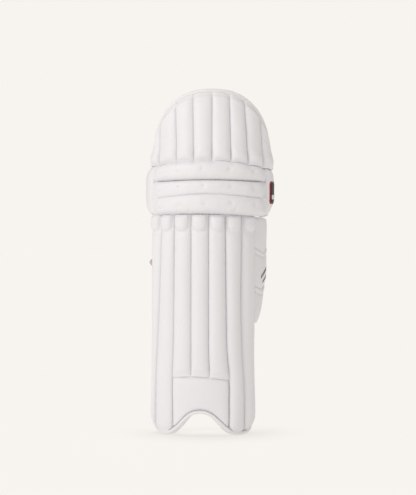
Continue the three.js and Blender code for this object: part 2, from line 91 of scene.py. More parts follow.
def sec(reg, s, z):
    """plan section: place and outward normal at arc length s, height z"""
    R, xc, th, r2, th2 = REGION[reg]
    s, z = np.broadcast_arrays(np.asarray(s, float), np.asarray(z, float))
    k = np.where(s < 0, -1.0, 1.0)
    a = np.abs(s)
    th, th2 = th * RAD, th2 * RAD
    q = np.minimum(a / R, th)
    x, y = R * np.sin(q), R * (1 - np.cos(q))
    b = np.maximum(a - R * th, 0)
    l2 = r2 * (th2 - th)
    q2 = th + np.minimum(b, l2) / r2
    on = b > 0
    x = x + np.where(on, r2 * (np.sin(q2) - math.sin(th)), 0)
    y = y + np.where(on, r2 * (math.cos(th) - np.cos(q2)), 0)
    c = np.maximum(b - l2, 0)
    x = x + c * math.cos(th2)
    y = y + c * math.sin(th2)
    q = np.where(on, q2, q)
    return xc + k * x, yf(reg, z) + y, k * np.sin(q), -np.cos(q)


def pt(reg, s, z, d):
    x, y, nx, ny = sec(reg, s, z)
    d = np.broadcast_to(d, x.shape)
    zz = np.broadcast_to(z, x.shape)
    return np.stack([(x + d * nx + SHX), (y + d * ny + SHY), zz], -1) * 0.001


def s_of(reg, x):
    R, xc = REGION[reg][:2]
    return R * np.arcsin((np.asarray(x, float) - xc) / R)


def tab(t, x):
    t = np.asarray(t, float)
    return np.interp(x, t[:, 0], t[:, 1])


def soft_tab(t, x, w):
    """a table with its corners rounded over about w"""
    out = 0
    for k, g in ((-1.5, 0.07), (-1, 0.14), (-0.5, 0.18), (0, 0.22), (0.5, 0.18), (1, 0.14), (1.5, 0.07)):
        out = out + g * tab(t, x + k * w)
    return out


def sstep(a, b, x):
    t = np.clip((x - a) / (b - a), 0, 1)
    return t * t * (3 - 2 * t)


def bump1(x, w):
    return np.exp(-(x / w) ** 2)


_W = [(RNG.uniform(-1, 1, 2), RNG.uniform(0, 6.28)) for _ in range(60)]


def wob(a, b, size, seed):
    """smooth deterministic unevenness, about -1..1, with features of `size` mm"""
    out = 0
    for i in range(7):
        (d, ph) = _W[(seed * 7 + i) % 60]
        n = d / (np.linalg.norm(d) + 1e-6)
        f = 6.28 / (size * (0.7 + 0.15 * i))
        out = out + np.sin((a * n[0] + b * n[1]) * f + ph + seed)
    return out / 4.0


def prof(u, p, q=0.5):
    """crowned section of a stuffed channel, 0 at both seams and 1 in the middle"""
    return np.clip(1 - np.abs(2 * u - 1) ** p, 0, 1) ** q


# ------------------------------------------------------------------ outlines
ZB = [[-99, 34], [-97, 28], [-92.8, 16.4], [-84.8, 7.0], [-76, 2.2], [-68, 0.2], [-60, 1.2], [-51, 6.6], [-40, 16.4], [-30.2, 27.6],
      [-20.6, 38.4], [-11, 43.8], [0, 45.6], [11.4, 43.8], [21, 38.4], [34, 26], [46.7, 13.0], [56, 4.9], [66, 0.8], [76, -0.3],
      [85, 0.4], [92.5, 2.8], [101, 9], [106.5, 18], [110, 30]]
INSTEP_TOP = [[-54, 116.5], [-30, 119.5], [-8, 120.5], [20, 118], [58, 111]]
SEAMS = [
    [[0, -84.5], [112, -83.5], [150, -82.2], [181, -80.5], [261, -77.2], [421, -72], [460, -71.5]],
    [[0, -52.2], [112, -53], [150, -51.4], [181, -50.2], [421, -48.2]],
    [[0, -17], [421, -16.6]],
    [[0, 19.2], [112, 19.2], [150, 17.4], [181, 16.8], [421, 16.8]],
    [[0, 56], [112, 57], [150, 53], [181, 50.8], [421, 48.2]],
    [[0, 84.5], [60, 84.5], [112, 83.5], [150, 80.8], [181, 79.4], [261, 77.6], [421, 79.2]],
]


def z_bot(s):
    x = sec("shin", s, 100.0)[0]
    return soft_tab(ZB, x, 3.4)


def seam_s(k, z):
    z = np.asarray(z, float)
    if k == 0:
        return SHIN_R * SHIN_L * RAD + 0 * z
    if k == 7:
        return SHIN_R * RAD * (59.4 + (SHIN_RT - 59.4) * (1 - sstep(214, 230, z)))
    return s_of("shin", soft_tab(SEAMS[k - 1], z, 12))


# ------------------------------------------------------------------ mesh tools
def new_obj(name, verts, faces, smooth=True):
    me = bpy.data.meshes.new(name)
    me.from_pydata([tuple(map(float, v)) for v in verts], [], faces)
    me.validate()
    me.update()
    ob = bpy.data.objects.new(name, me)
    bpy.context.scene.collection.objects.link(ob)
    if smooth:
        for p in me.polygons:
            p.use_smooth = True
    return ob


def set_attr(ob, name, vals):
    a = ob.data.attributes.new(name, "FLOAT", "POINT")
    a.data.foreach_set("value", np.asarray(vals, np.float32))


def grid_faces(nu, nv, off=0, flip=False):
    j, i = np.meshgrid(np.arange(nv), np.arange(nu), indexing="ij")
    a = off + j * (nu + 1) + i
    f = np.stack([a, a + 1, a + nu + 2, a + nu + 1], -1).reshape(-1, 4)
    return f[:, ::-1] if flip else f


class Sheet:
    """the outer cover of one stuffed piece, over a grid, with its back"""
    all = []

    def __init__(self, name, body, reg, S, Z, D, back, mat, nodes, fill=0.8, cap=3.0, flip=False, pins=None, slot="face_leather", pucker=0.4, fine=None, sim=True, sub=1, smooth=9):
        self.__dict__.update(locals())
        self.nv, self.nu = S.shape[0] - 1, S.shape[1] - 1
        self.P0 = pt(reg, S, Z, D)
        self.P = self.P0.copy()
        Sheet.all.append(self)


def simulate():
    """one cloth run over every cover: seams pinned, air pressure from inside"""
    todo = [h for h in Sheet.all if h.sim]
    V, F, pin, off = [], [], [], 0
    for h in todo:
        V.append(h.P0.reshape(-1, 3))
        F.append(grid_faces(h.nu, h.nv, off, h.flip))
        w = np.zeros((h.nv + 1, h.nu + 1))
        w[0], w[-1], w[:, 0], w[:, -1] = 1, 1, 1, 1
        if h.pins is not None:
            w = np.maximum(w, h.pins)
        pin.append(w.reshape(-1))
        off += w.size
    V, F, pin = np.concatenate(V), np.concatenate(F), np.concatenate(pin)
    ob = new_obj("cover_run", V, F.tolist())
    g = ob.vertex_groups.new(name="pin")
    for i in np.nonzero(pin > 0.01)[0]:
        g.add([int(i)], float(pin[i]), "REPLACE")
    m = ob.modifiers.new("run", "CLOTH")
    c = m.settings
    c.vertex_group_mass = "pin"
    c.quality = 4
    c.mass = 0.25
    c.tension_stiffness = c.compression_stiffness = 18
    c.shear_stiffness = 6
    c.bending_stiffness = 0.6
    c.air_damping = 2.0
    c.use_pressure = True
    c.uniform_pressure_force = 5.0
    c.shrink_min = 0.0
    c.effector_weights.gravity = 0
    m.collision_settings.use_collision = False
    m.collision_settings.use_self_collision = False
    sc = bpy.context.scene
    m.point_cache.frame_start, m.point_cache.frame_end = 1, 18
    for f in range(1, 19):
        sc.frame_set(f)
    dg = bpy.context.evaluated_depsgraph_get()
    me = ob.evaluated_get(dg).to_mesh()
    co = np.empty(len(me.vertices) * 3)
    me.vertices.foreach_get("co", co)
    co = co.reshape(-1, 3)
    ob.evaluated_get(dg).to_mesh_clear()
    sc.frame_set(1)
    bpy.data.objects.remove(ob, do_unlink=True)
    off = 0
    for h in todo:
        n = (h.nv + 1) * (h.nu + 1)
        q = co[off:off + n].reshape(h.nv + 1, h.nu + 1, 3)
        d = q - h.P0
        d[~np.isfinite(d)] = 0
        # the face is stretched tight over firm foam: keep the fullness, lose the small creases
        for it in range(h.smooth):
            e = d.copy()
            e[1:-1, 1:-1] = 0.4 * d[1:-1, 1:-1] + 0.15 * (d[2:, 1:-1] + d[:-2, 1:-1] + d[1:-1, 2:] + d[1:-1, :-2])
            if it % 2:
                e[2:-2, 1:-1] = 0.5 * e[2:-2, 1:-1] + 0.125 * (d[4:, 1:-1] + d[3:-1, 1:-1] + d[1:-3, 1:-1] + d[:-4, 1:-1])
            d = e
        L = np.linalg.norm(d, axis=-1, keepdims=True)
        cap = h.cap * 0.001
        d = d * (cap * np.tanh(L / cap) / np.maximum(L, 1e-9))
        h.P = h.P0 + d
        off += n


def grid_normals(Q, flip):
    du = np.gradient(Q, axis=1)
    dv = np.gradient(Q, axis=0)
    n = np.cross(du, dv)
    n /= np.maximum(np.linalg.norm(n, axis=-1, keepdims=True), 1e-12)
    return -n if flip else n


def upsample(A):
    """twice the grid, cubic along both ways"""
    def one(B):
        n = B.shape[0]
        E = np.concatenate([2 * B[:1] - B[1:2], B, 2 * B[-1:] - B[-2:-1]])
        mid = (-E[:n - 1] + 9 * E[1:n] + 9 * E[2:n + 1] - E[3:n + 2]) / 16
        out = np.empty((2 * n - 1,) + B.shape[1:])
        out[0::2] = B
        out[1::2] = mid
        return out
    return np.swapaxes(one(np.swapaxes(one(A), 0, 1)), 0, 1)


def build_sheet(h):
    """closed solid from the settled cover, refined, with seam puckers and a back"""
    Q, S, Z, D = h.P, h.S, h.Z, h.D
    U = np.broadcast_to(np.linspace(0, 1, h.nu + 1)[None, :], S.shape)
    V = np.broadcast_to(np.linspace(0, 1, h.nv + 1)[:, None], S.shape)
    for _ in range(h.sub):
        Q, S, Z, D, U, V = map(upsample, (Q, S, Z, D, U, V))
    nv, nu = S.shape[0] - 1, S.shape[1] - 1
    # distance to the nearest seam, in mm
    wu = np.abs(S[:, -1:] - S[:, :1])
    hv = np.abs(Z[-1:, :] - Z[:1, :])
    du = np.minimum(np.abs(S - S[:, :1]), np.abs(S[:, -1:] - S))
    dv = np.minimum(np.abs(Z - Z[:1, :]), np.abs(Z[-1:, :] - Z))
    dist = np.minimum(du, dv)
    N = grid_normals(Q, h.flip)
    if h.pucker:
        near = np.exp(-(np.maximum(dist - 1.5, 0) / 3.2)) * sstep(0, 1.5, dist)
        along = np.where(du < dv, Z, S)
        sd = len(h.name) + int(abs(S[0, 0])) % 7
        a = h.pucker * near * (0.55 + 0.45 * np.sin(along * 6.28 / 8.6 + 2.0 * wob(S, Z, 60, sd))) * (0.6 + 0.4 * wob(S, Z, 40, sd + 3))
        a = a - 0.16 * h.pucker * wob(S, Z, 26, sd + 1) * sstep(2, 8, dist)
        Q = Q - N * (a * 0.001)[..., None]
    if h.fine is not None:
        Q = Q + N * (h.fine(S, Z, U, V) * 0.001)[..., None]
    B = pt(h.reg, S, Z, h.back(S, Z) if callable(h.back) else h.back)
    n = (nu + 1) * (nv + 1)
    F = [grid_faces(nu, nv, 0, h.flip), grid_faces(nu, nv, n, not h.flip)]
    loop = [(0, i) for i in range(nu)] + [(j, nu) for j in range(nv)] + [(nv, i) for i in range(nu, 0, -1)] + [(j, 0) for j in range(nv, 0, -1)]
    idx = np.array([j * (nu + 1) + i for j, i in loop])
    nxt = np.roll(idx, -1)
    side = np.stack([nxt, idx, idx + n, nxt + n], -1)
    F.append(side[:, ::-1] if h.flip else side)
    verts = np.concatenate([Q.reshape(-1, 3), B.reshape(-1, 3)])
    ob = new_obj(h.name, verts, np.concatenate(F).tolist())
    # closeness to the nearest seam; the leather uses it to paint shade into the seams
    seam = np.exp(-dist / 2.2)
    set_attr(ob, "seam", np.concatenate([seam.reshape(-1), np.full(n, 0.6)]))
    # sharp where the cover turns down into the seam
    sh = np.zeros(len(ob.data.edges), bool)
    ev = np.empty(len(ob.data.edges) * 2, np.int64)
    ob.data.edges.foreach_get("vertices", ev)
    ev = ev.reshape(-1, 2)
    isl = np.zeros(2 * n, bool)
    isl[idx] = True
    isl[idx + n] = True
    key = isl[ev[:, 0]] & isl[ev[:, 1]] & ((ev[:, 0] < n) == (ev[:, 1] < n))
    sh |= key
    a = ob.data.attributes.new("sharp_edge", "BOOLEAN", "EDGE")
    a.data.foreach_set("value", sh)
    ob.data.materials.append(h.mat)
    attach(ob, h.body)
    if h.nodes:
        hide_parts(*h.nodes)
    h.ob = ob
    return ob


def sweep(name, C, A, B, ring, closed=False):
    """solid swept along C (n,3); ring is (m,2) in the A,B directions, per station or shared"""
    n = len(C)
    ring = np.broadcast_to(ring, (n,) + np.shape(ring)[-2:]) if np.ndim(ring) == 2 else ring
    m = ring.shape[1]
    V = C[:, None] + ring[..., :1] * A[:, None] + ring[..., 1:] * B[:, None]
    F = []
    for k in range(n - 1 if not closed else n):
        k2 = (k + 1) % n
        for i in range(m):
            i2 = (i + 1) % m
            F.append((k * m + i, k * m + i2, k2 * m + i2, k2 * m + i))
    verts = V.reshape(-1, 3)
    if not closed:
        F.append(tuple(range(m))[::-1])
        F.append(tuple((n - 1) * m + i for i in range(m)))
    ob = new_obj(name, verts, F)
    outward(ob)
    return ob


def outward(ob):
    me = ob.data
    me.calc_loop_triangles()
    co = np.empty(len(me.vertices) * 3)
    me.vertices.foreach_get("co", co)
    co = co.reshape(-1, 3)
    t = np.empty(len(me.loop_triangles) * 3, np.int64)
    me.loop_triangles.foreach_get("vertices", t)
    t = t.reshape(-1, 3)
    v = np.einsum("ij,ij->i", co[t[:, 0]], np.cross(co[t[:, 1]], co[t[:, 2]])).sum()
    if v < 0:
        me.flip_normals()


def put(ob, mat, body, slot, nodes=(), padded=None):
    ob.data.materials.append(mat)
    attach(ob, body)
    if nodes:
        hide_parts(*nodes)
    return ob


def rrect(w, h, r, k=4):
    """rounded rectangle ring, centred, w along the first axis"""
    out = []
    for cx, cy, a0 in ((w / 2 - r, h / 2 - r, 0), (-w / 2 + r, h / 2 - r, 90), (-w / 2 + r, -h / 2 + r, 180), (w / 2 - r, -h / 2 + r, 270)):
        for i in range(k + 1):
            a = (a0 + 90 * i / k) * RAD
            out.append((cx + r * math.cos(a), cy + r * math.sin(a)))
    return np.array(out)


def resample(C, step):
    d = np.concatenate([[0], np.cumsum(np.linalg.norm(np.diff(C, axis=0), axis=1))])
    n = max(int(round(d[-1] / step)), 1)
    t = (np.arange(n) + 0.5) * d[-1] / n
    return np.stack([np.interp(t, d, C[:, k]) for k in range(C.shape[1])], -1)


THREADS = {}


def stitch(group, body, C, N, pitch=0.0048, length=0.0031, r=0.00052, lift=0.0):
    """a row of stitches along C with surface normals N; gathered per group"""
    C, N = np.asarray(C), np.asarray(N)
    P = resample(np.concatenate([C, N], 1), pitch)
    c, nn = P[:, :3], P[:, 3:]
    nn = nn / np.linalg.norm(nn, axis=1, keepdims=True)
    t = np.gradient(c, axis=0)
    t = t / np.linalg.norm(t, axis=1, keepdims=True)
    b = np.cross(nn, t)
    THREADS.setdefault((group, body), []).append((c + nn * lift, t, b, nn, length, r))


def flush_threads(mat):
    for (group, body), rows in THREADS.items():
        V, F, off = [], [], 0
        for c, t, b, nn, L, r in rows:
            prof_ = [(-0.5, 0.25, -0.5), (-0.32, 0.9, 0.25), (0, 1.0, 0.5), (0.32, 0.9, 0.25), (0.5, 0.25, -0.5)]
            for k in range(len(c)):
                ring0 = off
                for a, s, up in prof_:
                    o = c[k] + t[k] * a * L + nn[k] * up * r
                    for q in range(6):
                        w = q * math.pi / 3
                        V.append(o + (b[k] * math.cos(w) + nn[k] * 0.8 * math.sin(w)) * r * s)
                        off += 1
                for g in range(4):
                    for q in range(6):
                        q2 = (q + 1) % 6
                        F.append((ring0 + g * 6 + q, ring0 + g * 6 + q2, ring0 + g * 6 + 6 + q2, ring0 + g * 6 + 6 + q))
                F.append(tuple(ring0 + q for q in range(6))[::-1])
                F.append(tuple(ring0 + 24 + q for q in range(6)))
        ob = new_obj(group, V, F)
        outward(ob)
        put(ob, mat, body, "binding_leather")


# ------------------------------------------------------------------ materials
def lin(r, g, b):
    return tuple(((c / 255) / 12.92 if c / 255 <= 0.04045 else ((c / 255 + 0.055) / 1.055) ** 2.4) for c in (r, g, b)) + (1.0,)


class Mat:
    def __init__(self, name):
        self.m = bpy.data.materials.new(name)
        self.m.use_nodes = True
        self.t = self.m.node_tree
        self.b = self.t.nodes["Principled BSDF"]
        self.tc = self.n("ShaderNodeTexCoord")

    def n(self, kind, **kw):
        q = self.t.nodes.new(kind)
        for k, v in kw.items():
            if k in q.inputs:
                q.inputs[k].default_value = v
            else:
                setattr(q, k, v)
        return q

    def l(self, a, b):
        self.t.links.new(a, b)

    def noise(self, scale, detail=2.0, rough=0.5, vec=None):
        q = self.n("ShaderNodeTexNoise", Scale=scale, Detail=detail, Roughness=rough)
        self.l(vec or self.tc.outputs["Object"], q.inputs["Vector"])
        return q.outputs["Fac"]

    def mapr(self, v, a, b, c, d):
        q = self.n("ShaderNodeMapRange")
        for i, x in enumerate((a, b, c, d)):
            q.inputs[i + 1].default_value = x
        self.l(v, q.inputs[0])
        return q.outputs[0]

    def mix(self, fac, a, b, mode="MIX"):
        q = self.n("ShaderNodeMix", data_type="RGBA", blend_type=mode)
        for v, s in ((fac, q.inputs[0]), (a, q.inputs[6]), (b, q.inputs[7])):
            if isinstance(v, (int, float, tuple)):
                s.default_value = v
            else:
                self.l(v, s)
        return q.outputs[2]

    def math(self, op, a, b=0.0):
        q = self.n("ShaderNodeMath", operation=op)
        for v, s in ((a, q.inputs[0]), (b, q.inputs[1])):
            if isinstance(v, (int, float)):
                s.default_value = v
            else:
                self.l(v, s)
        return q.outputs[0]

    def bump(self, h, strength, dist, prev=None):
        q = self.n("ShaderNodeBump", Strength=strength, Distance=dist)
        self.l(h, q.inputs["Height"])
        if prev is not None:
            self.l(prev, q.inputs["Normal"])
        return q.outputs["Normal"]


def leather(name, base, seam_col, rough=0.47, grain=1.0, spec=0.42):
    """coated synthetic leather: fine pebble grain, faint clouding, painted shade in the seams"""
    M = Mat(name)
    cloud = M.noise(9.0, 3.0, 0.55)
    fine = M.noise(60.0, 2.0)
    warm = tuple(min(c * k, 1) for c, k in zip(base[:3], (1.008, 1.005, 1.0))) + (1.0,)
    cool = tuple(c * k for c, k in zip(base[:3], (0.985, 0.988, 0.992))) + (1.0,)
    col = M.mix(M.mapr(cloud, 0.32, 0.68, 0, 1), cool, warm)
    col = M.mix(M.math("MULTIPLY", M.mapr(fine, 0.55, 0.8, 0, 1), 0.18), col, tuple(c * 0.97 for c in base[:3]) + (1.0,))
    # painted shade: towards each seam the colour darkens to a blue-grey, by the seam mask
    at = M.n("ShaderNodeAttribute", attribute_name="seam")
    dirt = M.math("MULTIPLY", M.mapr(at.outputs["Fac"], 0.3, 1.0, 0, 0.6), M.mapr(M.noise(22.0), 0.3, 0.7, 0.75, 1.0))
    col = M.mix(dirt, col, seam_col)
    M.l(col, M.b.inputs["Base Color"])
    vor = M.n("ShaderNodeTexVoronoi", feature="DISTANCE_TO_EDGE", Scale=820.0 / grain)
    wv = M.n("ShaderNodeVectorMath", operation="ADD")
    nz = M.n("ShaderNodeTexNoise", Scale=350.0, Detail=1.0)
    M.l(M.tc.outputs["Object"], nz.inputs["Vector"])
    sc = M.n("ShaderNodeVectorMath", operation="SCALE")
    sc.inputs["Scale"].default_value = 0.0011
    M.l(nz.outputs["Color"], sc.inputs[0])
    M.l(M.tc.outputs["Object"], wv.inputs[0])
    M.l(sc.outputs[0], wv.inputs[1])
    M.l(wv.outputs[0], vor.inputs["Vector"])
    peb = M.mapr(vor.outputs["Distance"], 0.0, 0.22, 0, 1)
    n1 = M.bump(peb, 0.22, 0.00022)
    n2 = M.bump(M.noise(140.0, 3.0), 0.12, 0.0006, n1)
    M.l(n2, M.b.inputs["Normal"])
    M.l(M.mapr(M.noise(34.0, 3.0), 0.3, 0.7, rough - 0.06, rough + 0.07), M.b.inputs["Roughness"])
    M.b.inputs["Specular IOR Level"].default_value = spec
    return M.m


def cloth(name, base, pitch=0.0011, depth=0.0003, rough=0.9, fuzz=0.25, tint=0.05, diag=False):
    """plain weave or brushed cloth from crossed threads"""
    M = Mat(name)
    mp = M.n("ShaderNodeMapping")
    M.l(M.tc.outputs["Object"], mp.inputs["Vector"])
    if diag:
        mp.inputs["Rotation"].default_value = (0.0, 0.7, 0.0)
    f = 1.0 / pitch / 6.2832 * 6.2832 / 2
    hs = []
    for ax in ("X", "Z"):
        w = M.n("ShaderNodeTexWave", bands_direction=ax, Scale=f / 3.1416, Distortion=0.6, Detail=1.0)
        w.inputs["Detail Scale"].default_value = 2.0
        M.l(mp.outputs[0], w.inputs["Vector"])
        hs.append(w.outputs["Fac"])
    wv = M.math("MAXIMUM", hs[0], hs[1])
    nz = M.noise(16.0, 3.0)
    dark = tuple(c * (1 - tint * 2.6) for c in base[:3]) + (1.0,)
    lite = tuple(min(1, c * (1 + tint * 0.6)) for c in base[:3]) + (1.0,)
    col = M.mix(wv, dark, lite)
    col = M.mix(M.math("MULTIPLY", M.mapr(nz, 0.4, 0.75, 0, 1), 0.35), col, dark)
    M.l(col, M.b.inputs["Base Color"])
    n1 = M.bump(wv, 0.45, depth)
    n2 = M.bump(M.noise(1400.0, 1.0), 0.3, 0.0002, n1)
    M.l(n2, M.b.inputs["Normal"])
    M.l(M.mapr(M.noise(40.0), 0.3, 0.7, rough - 0.05, min(rough + 0.05, 1)), M.b.inputs["Roughness"])
    M.b.inputs["Sheen Weight"].default_value = fuzz
    M.b.inputs["Sheen Roughness"].default_value = 0.5
    M.b.inputs["Specular IOR Level"].default_value = 0.2
    return M.m


def pile(name, base, scale=1500.0, depth=0.0009):
    """hook or loop tape: dense short pile"""
    M = Mat(name)
    v = M.n("ShaderNodeTexVoronoi", feature="F1", Scale=scale)
    M.l(M.tc.outputs["Object"], v.inputs["Vector"])
    h = M.mapr(v.outputs["Distance"], 0.0, 0.6, 1, 0)
    col = M.mix(h, tuple(c * 0.72 for c in base[:3]) + (1.0,), base)
    col = M.mix(M.math("MULTIPLY", M.noise(60.0, 3.0), 0.3), col, tuple(c * 0.85 for c in base[:3]) + (1.0,))
    M.l(col, M.b.inputs["Base Color"])
    M.l(M.bump(h, 0.45, depth), M.b.inputs["Normal"])
    M.l(M.mapr(M.noise(50.0), 0.3, 0.7, 0.86, 0.98), M.b.inputs["Roughness"])
    M.b.inputs["Sheen Weight"].default_value = 0.35
    return M.m


def cane(name):
    M = Mat(name)
    mp = M.n("ShaderNodeMapping")
    mp.inputs["Scale"].default_value = (260.0, 260.0, 9.0)
    M.l(M.tc.outputs["Object"], mp.inputs["Vector"])
    q = M.n("ShaderNodeTexNoise", Scale=1.0, Detail=4.0)
    M.l(mp.outputs[0], q.inputs["Vector"])
    M.l(M.mix(M.mapr(q.outputs["Fac"], 0.3, 0.7, 0, 1), lin(176, 132, 80), lin(220, 186, 128)), M.b.inputs["Base Color"])
    M.l(M.bump(q.outputs["Fac"], 0.4, 0.0006), M.b.inputs["Normal"])
    M.l(M.mapr(q.outputs["Fac"], 0.3, 0.7, 0.5, 0.7), M.b.inputs["Roughness"])
    return M.m


# blue-grey painted shade colour for the seams of the covers and bindings
SEAMCOL = lin(225, 226, 235)
LEA = leather("face_leather", lin(233, 231, 233), SEAMCOL)
LEB = leather("binding_leather", lin(233, 231, 232), lin(206, 207, 218), rough=0.44, grain=0.9)
# dark blue-grey leather for the painted shadow line above the bottom binding
FOLD = leather("fold_leather", lin(180, 180, 194), lin(172, 172, 188), rough=0.7, spec=0.2)
LINC = cloth("lining_cloth", lin(236, 233, 229), pitch=0.0014)
BOLC = cloth("bolster_cloth", lin(238, 235, 231), pitch=0.0019, depth=0.0004, diag=True)
WEB = cloth("strap_webbing", lin(232, 222, 214), pitch=0.0017, depth=0.0006, rough=0.8, fuzz=0.15, tint=0.07)
LOOP = pile("loop_tape", lin(232, 229, 223), 900.0)
HOOK = pile("hook_tape", lin(238, 236, 232), 1300.0)
CANE = cane("cane_core")
THREAD = cloth("thread", lin(232, 229, 224), pitch=0.0006, depth=0.0001, rough=0.7, fuzz=0.1)
PATCH = cloth("patch_weave", lin(48, 40, 44), pitch=0.0009, depth=0.0002, rough=0.6, fuzz=0.1)
PATCHR = cloth("patch_edge", lin(158, 44, 50), pitch=0.0009, depth=0.0002, rough=0.6, fuzz=0.1)
PATCHW = cloth("patch_bar", lin(226, 220, 214), pitch=0.0009, depth=0.0002, rough=0.6, fuzz=0.1)
INK = leather("print_ink", lin(44, 40, 42), lin(30, 28, 30), rough=0.5)

# ------------------------------------------------------------------ shin rolls
STEP = 2.9


def cosgrid(n, w=0.5):
    u = np.linspace(0, 1, n + 1)
    return (1 - w) * u + w * (0.5 - 0.5 * np.cos(np.pi * u))


def nrows(lo, hi):
    return max(int(round((hi - lo) / STEP)), 4)


instep_top = lambda s: soft_tab(INSTEP_TOP, sec("shin", s, 100.0)[0], 8)
for k in range(7):
    short = 2 <= k <= 4
    nu = 14
    u = cosgrid(nu)[None, :]
    lo_ref, top = (121.0 if short else 6.0), SHIN_TOP + 1.6
    v = np.linspace(0, 1, nrows(lo_ref, top) + 1)[:, None]
    Z = lo_ref + (top - lo_ref) * v + 0 * u
    for _ in range(4):
        S = seam_s(k, Z) * (1 - u) + seam_s(k + 1, Z) * u
        lo = instep_top(S[0]) - 0.6 if short else z_bot(S[0]) + 5.0
        Z = lo[None, :] + (top - lo[None, :]) * v
    w = np.abs(seam_s(k + 1, 300.0) - seam_s(k, 300.0))
    amp = 8.1 if 0 < k < 6 else 7.8
    side = 0.0
    H = prof(u, 2.5, 0.64) * amp
    if k == 6:           # waist above the foot, then a slight flare
        H = H + (1.3 * bump1(Z - 52, 34) - 2.0 * bump1(Z - 150, 62)) * prof(u, 2)
    elif k == 0:
        H = H + (1.2 * bump1(Z - 50, 36) - 0.7 * bump1(Z - 150, 60)) * prof(u, 2)
    up = Z - Z[0][None, :]
    H = H * (0.5 + 0.5 * sstep(0, 14, up)) if not short else H * (0.45 + 0.55 * sstep(0, 16, up))
    if k in (0, 6):      # each foot rounds in towards its outer corner
        out_ = 1 - u if k == 0 else u
        H = H * (1 - sstep(0.25, 0.65, out_) * (1 - np.sqrt(1 - (1 - np.clip(up / 26.0, 0, 1)) ** 2)))
    # knob of the stiffener end under the knee roll: a raised round-bottomed pillow
    x = (u - 0.48) * 2.0 / 0.84
    e = np.abs(x) ** 2.5 + (np.maximum(427.0 - Z, 0) / 18.5) ** 2.4
    knob = 6.4 * np.clip(1 - e, 0, 1) ** 0.6
    H = H * (1 - 0.16 * sstep(392, 410, Z)) + knob
    H = H * (1 - 0.55 * sstep(434, top + 1, Z))
    H = H + 0.4 * wob(S, Z, 90, k) * prof(u, 2)
    D = 4.3 + H - 3.4 * (bump1(u - 0.0, 0.06) * (k == 0) + bump1(u - 1.0, 0.06) * (k == 6))
    Sheet(f"shin_roll_cover_{k + 1}", "shin", "shin", S, Z, D, -BASE, LEA, [f"shin_roll_{k + 1}"], fill=0.85, cap=2.4, pucker=0.25)
    # the seam on this roll's right, stitched in the valley
    if k < 6:
        zz = np.arange(122.0 if k in (2, 3) else 14.0, 437.0, 2.0)
        ss = seam_s(k + 1, zz)
        keep = zz > z_bot(ss) + 9
        if k == 1 or k == 4:
            keep &= zz > z_bot(ss) + 9
        zz, ss = zz[keep], ss[keep]
        C = pt("shin", ss, zz, 5.4)
        stitch("shin_seam_thread", "shin", C, C - pt("shin", ss, zz, 4.4), lift=0.0, r=0.00045)

# ------------------------------------------------------------------ instep
u = cosgrid(34, 0.35)[None, :]
v = np.linspace(0, 1, int(110 / STEP) + 1)[:, None]
Z = 20 + 95 * v + 0 * u
for _ in range(4):
    S = seam_s(2, Z) * (1 - u) + seam_s(5, Z) * u
    lo, hi = z_bot(S[0]) + 5.0, instep_top(S[-1]) + 0.4
    Z = lo[None, :] + (hi - lo)[None, :] * v
H = (4.2 + 5.2 * (2 * u - 1) ** 2) * prof(u, 9.0, 0.55) * (0.35 + 0.65 * prof(v, 5.0, 0.6)) + 0.5 * wob(S, Z, 60, 21)
Sheet("instep_cover", "shin", "shin", S, Z, 2.2 + H, -BASE, LEA, ["instep_panel"], fill=0.6, cap=1.6, pucker=0.4)
ss = np.linspace(seam_s(2, 118.0) + 1, seam_s(5, 112.0) - 1, 80)
C = pt("shin", ss, instep_top(ss) - 3.2, 7.2)
stitch("instep_thread", "shin", C, C - pt("shin", ss, instep_top(ss) - 3.2, 6.2), lift=-0.0003)

# ------------------------------------------------------------------ binding of arch and feet
xs = np.concatenate([np.linspace(-97.5, 109.5, 190)])
ssb = np.clip(s_of("shin", np.clip(xs, SHIN_XC - 111, SHIN_XC + 111)), SHIN_R * SHIN_L * RAD, SHIN_R * SHIN_RT * RAD)
ssb = np.linspace(ssb[0], ssb[-1], 200)
zb = np.maximum(z_bot(ssb), 0)
for _ in range(3):
    zb[1:-1] = 0.25 * zb[:-2] + 0.5 * zb[1:-1] + 0.25 * zb[2:]
ts_, tz_ = np.gradient(ssb), np.gradient(zb)
tl = np.hypot(ts_, tz_)
ms, mz = -tz_ / tl, ts_ / tl                      # in-surface normal, away from the floor
BH = 7.6
rr = rrect(21.8, BH, 3.0, 5)                        # (depth, height)
Cc = np.zeros((200, len(rr), 3))
arc = np.concatenate([[0], np.cumsum(np.hypot(np.diff(ssb), np.diff(zb)))])
for i in range(200):
    e_ = min(arc[i], arc[-1] - arc[i])
    d = -3.1 + rr[:, 0]
    front = 8.2 - 5.6 * (1 - sstep(0, 34, e_)) + 0.1 * math.sin(i * 0.37 + 1)
    d = np.where(rr[:, 0] > 0, rr[:, 0] * (front + 3.1) / 10.9 - 3.1, d)
    h_ = rr[:, 1] + BH / 2
    Cc[i] = pt("shin", ssb[i] + ms[i] * h_, np.maximum(zb[i] + mz[i] * h_, 0.0), d)
V = Cc.reshape(-1, 3)
m = len(rr)
F = [(k * m + i, k * m + (i + 1) % m, (k + 1) * m + (i + 1) % m, (k + 1) * m + i) for k in range(199) for i in range(m)]
F += [tuple(range(m))[::-1], tuple(199 * m + i for i in range(m))]
ob = new_obj("bottom_binding_band", V, F)
outward(ob)
put(ob, LEB, "shin", "binding_leather", ["bottom_binding"])
sq, zq = ssb + ms * (BH - 1.7), zb + mz * (BH - 1.7)
C = pt("shin", sq, zq, 8.0)
stitch("binding_thread", "shin", C[12:-12], (C - pt("shin", sq, zq, 7.0))[12:-12], pitch=0.0044)
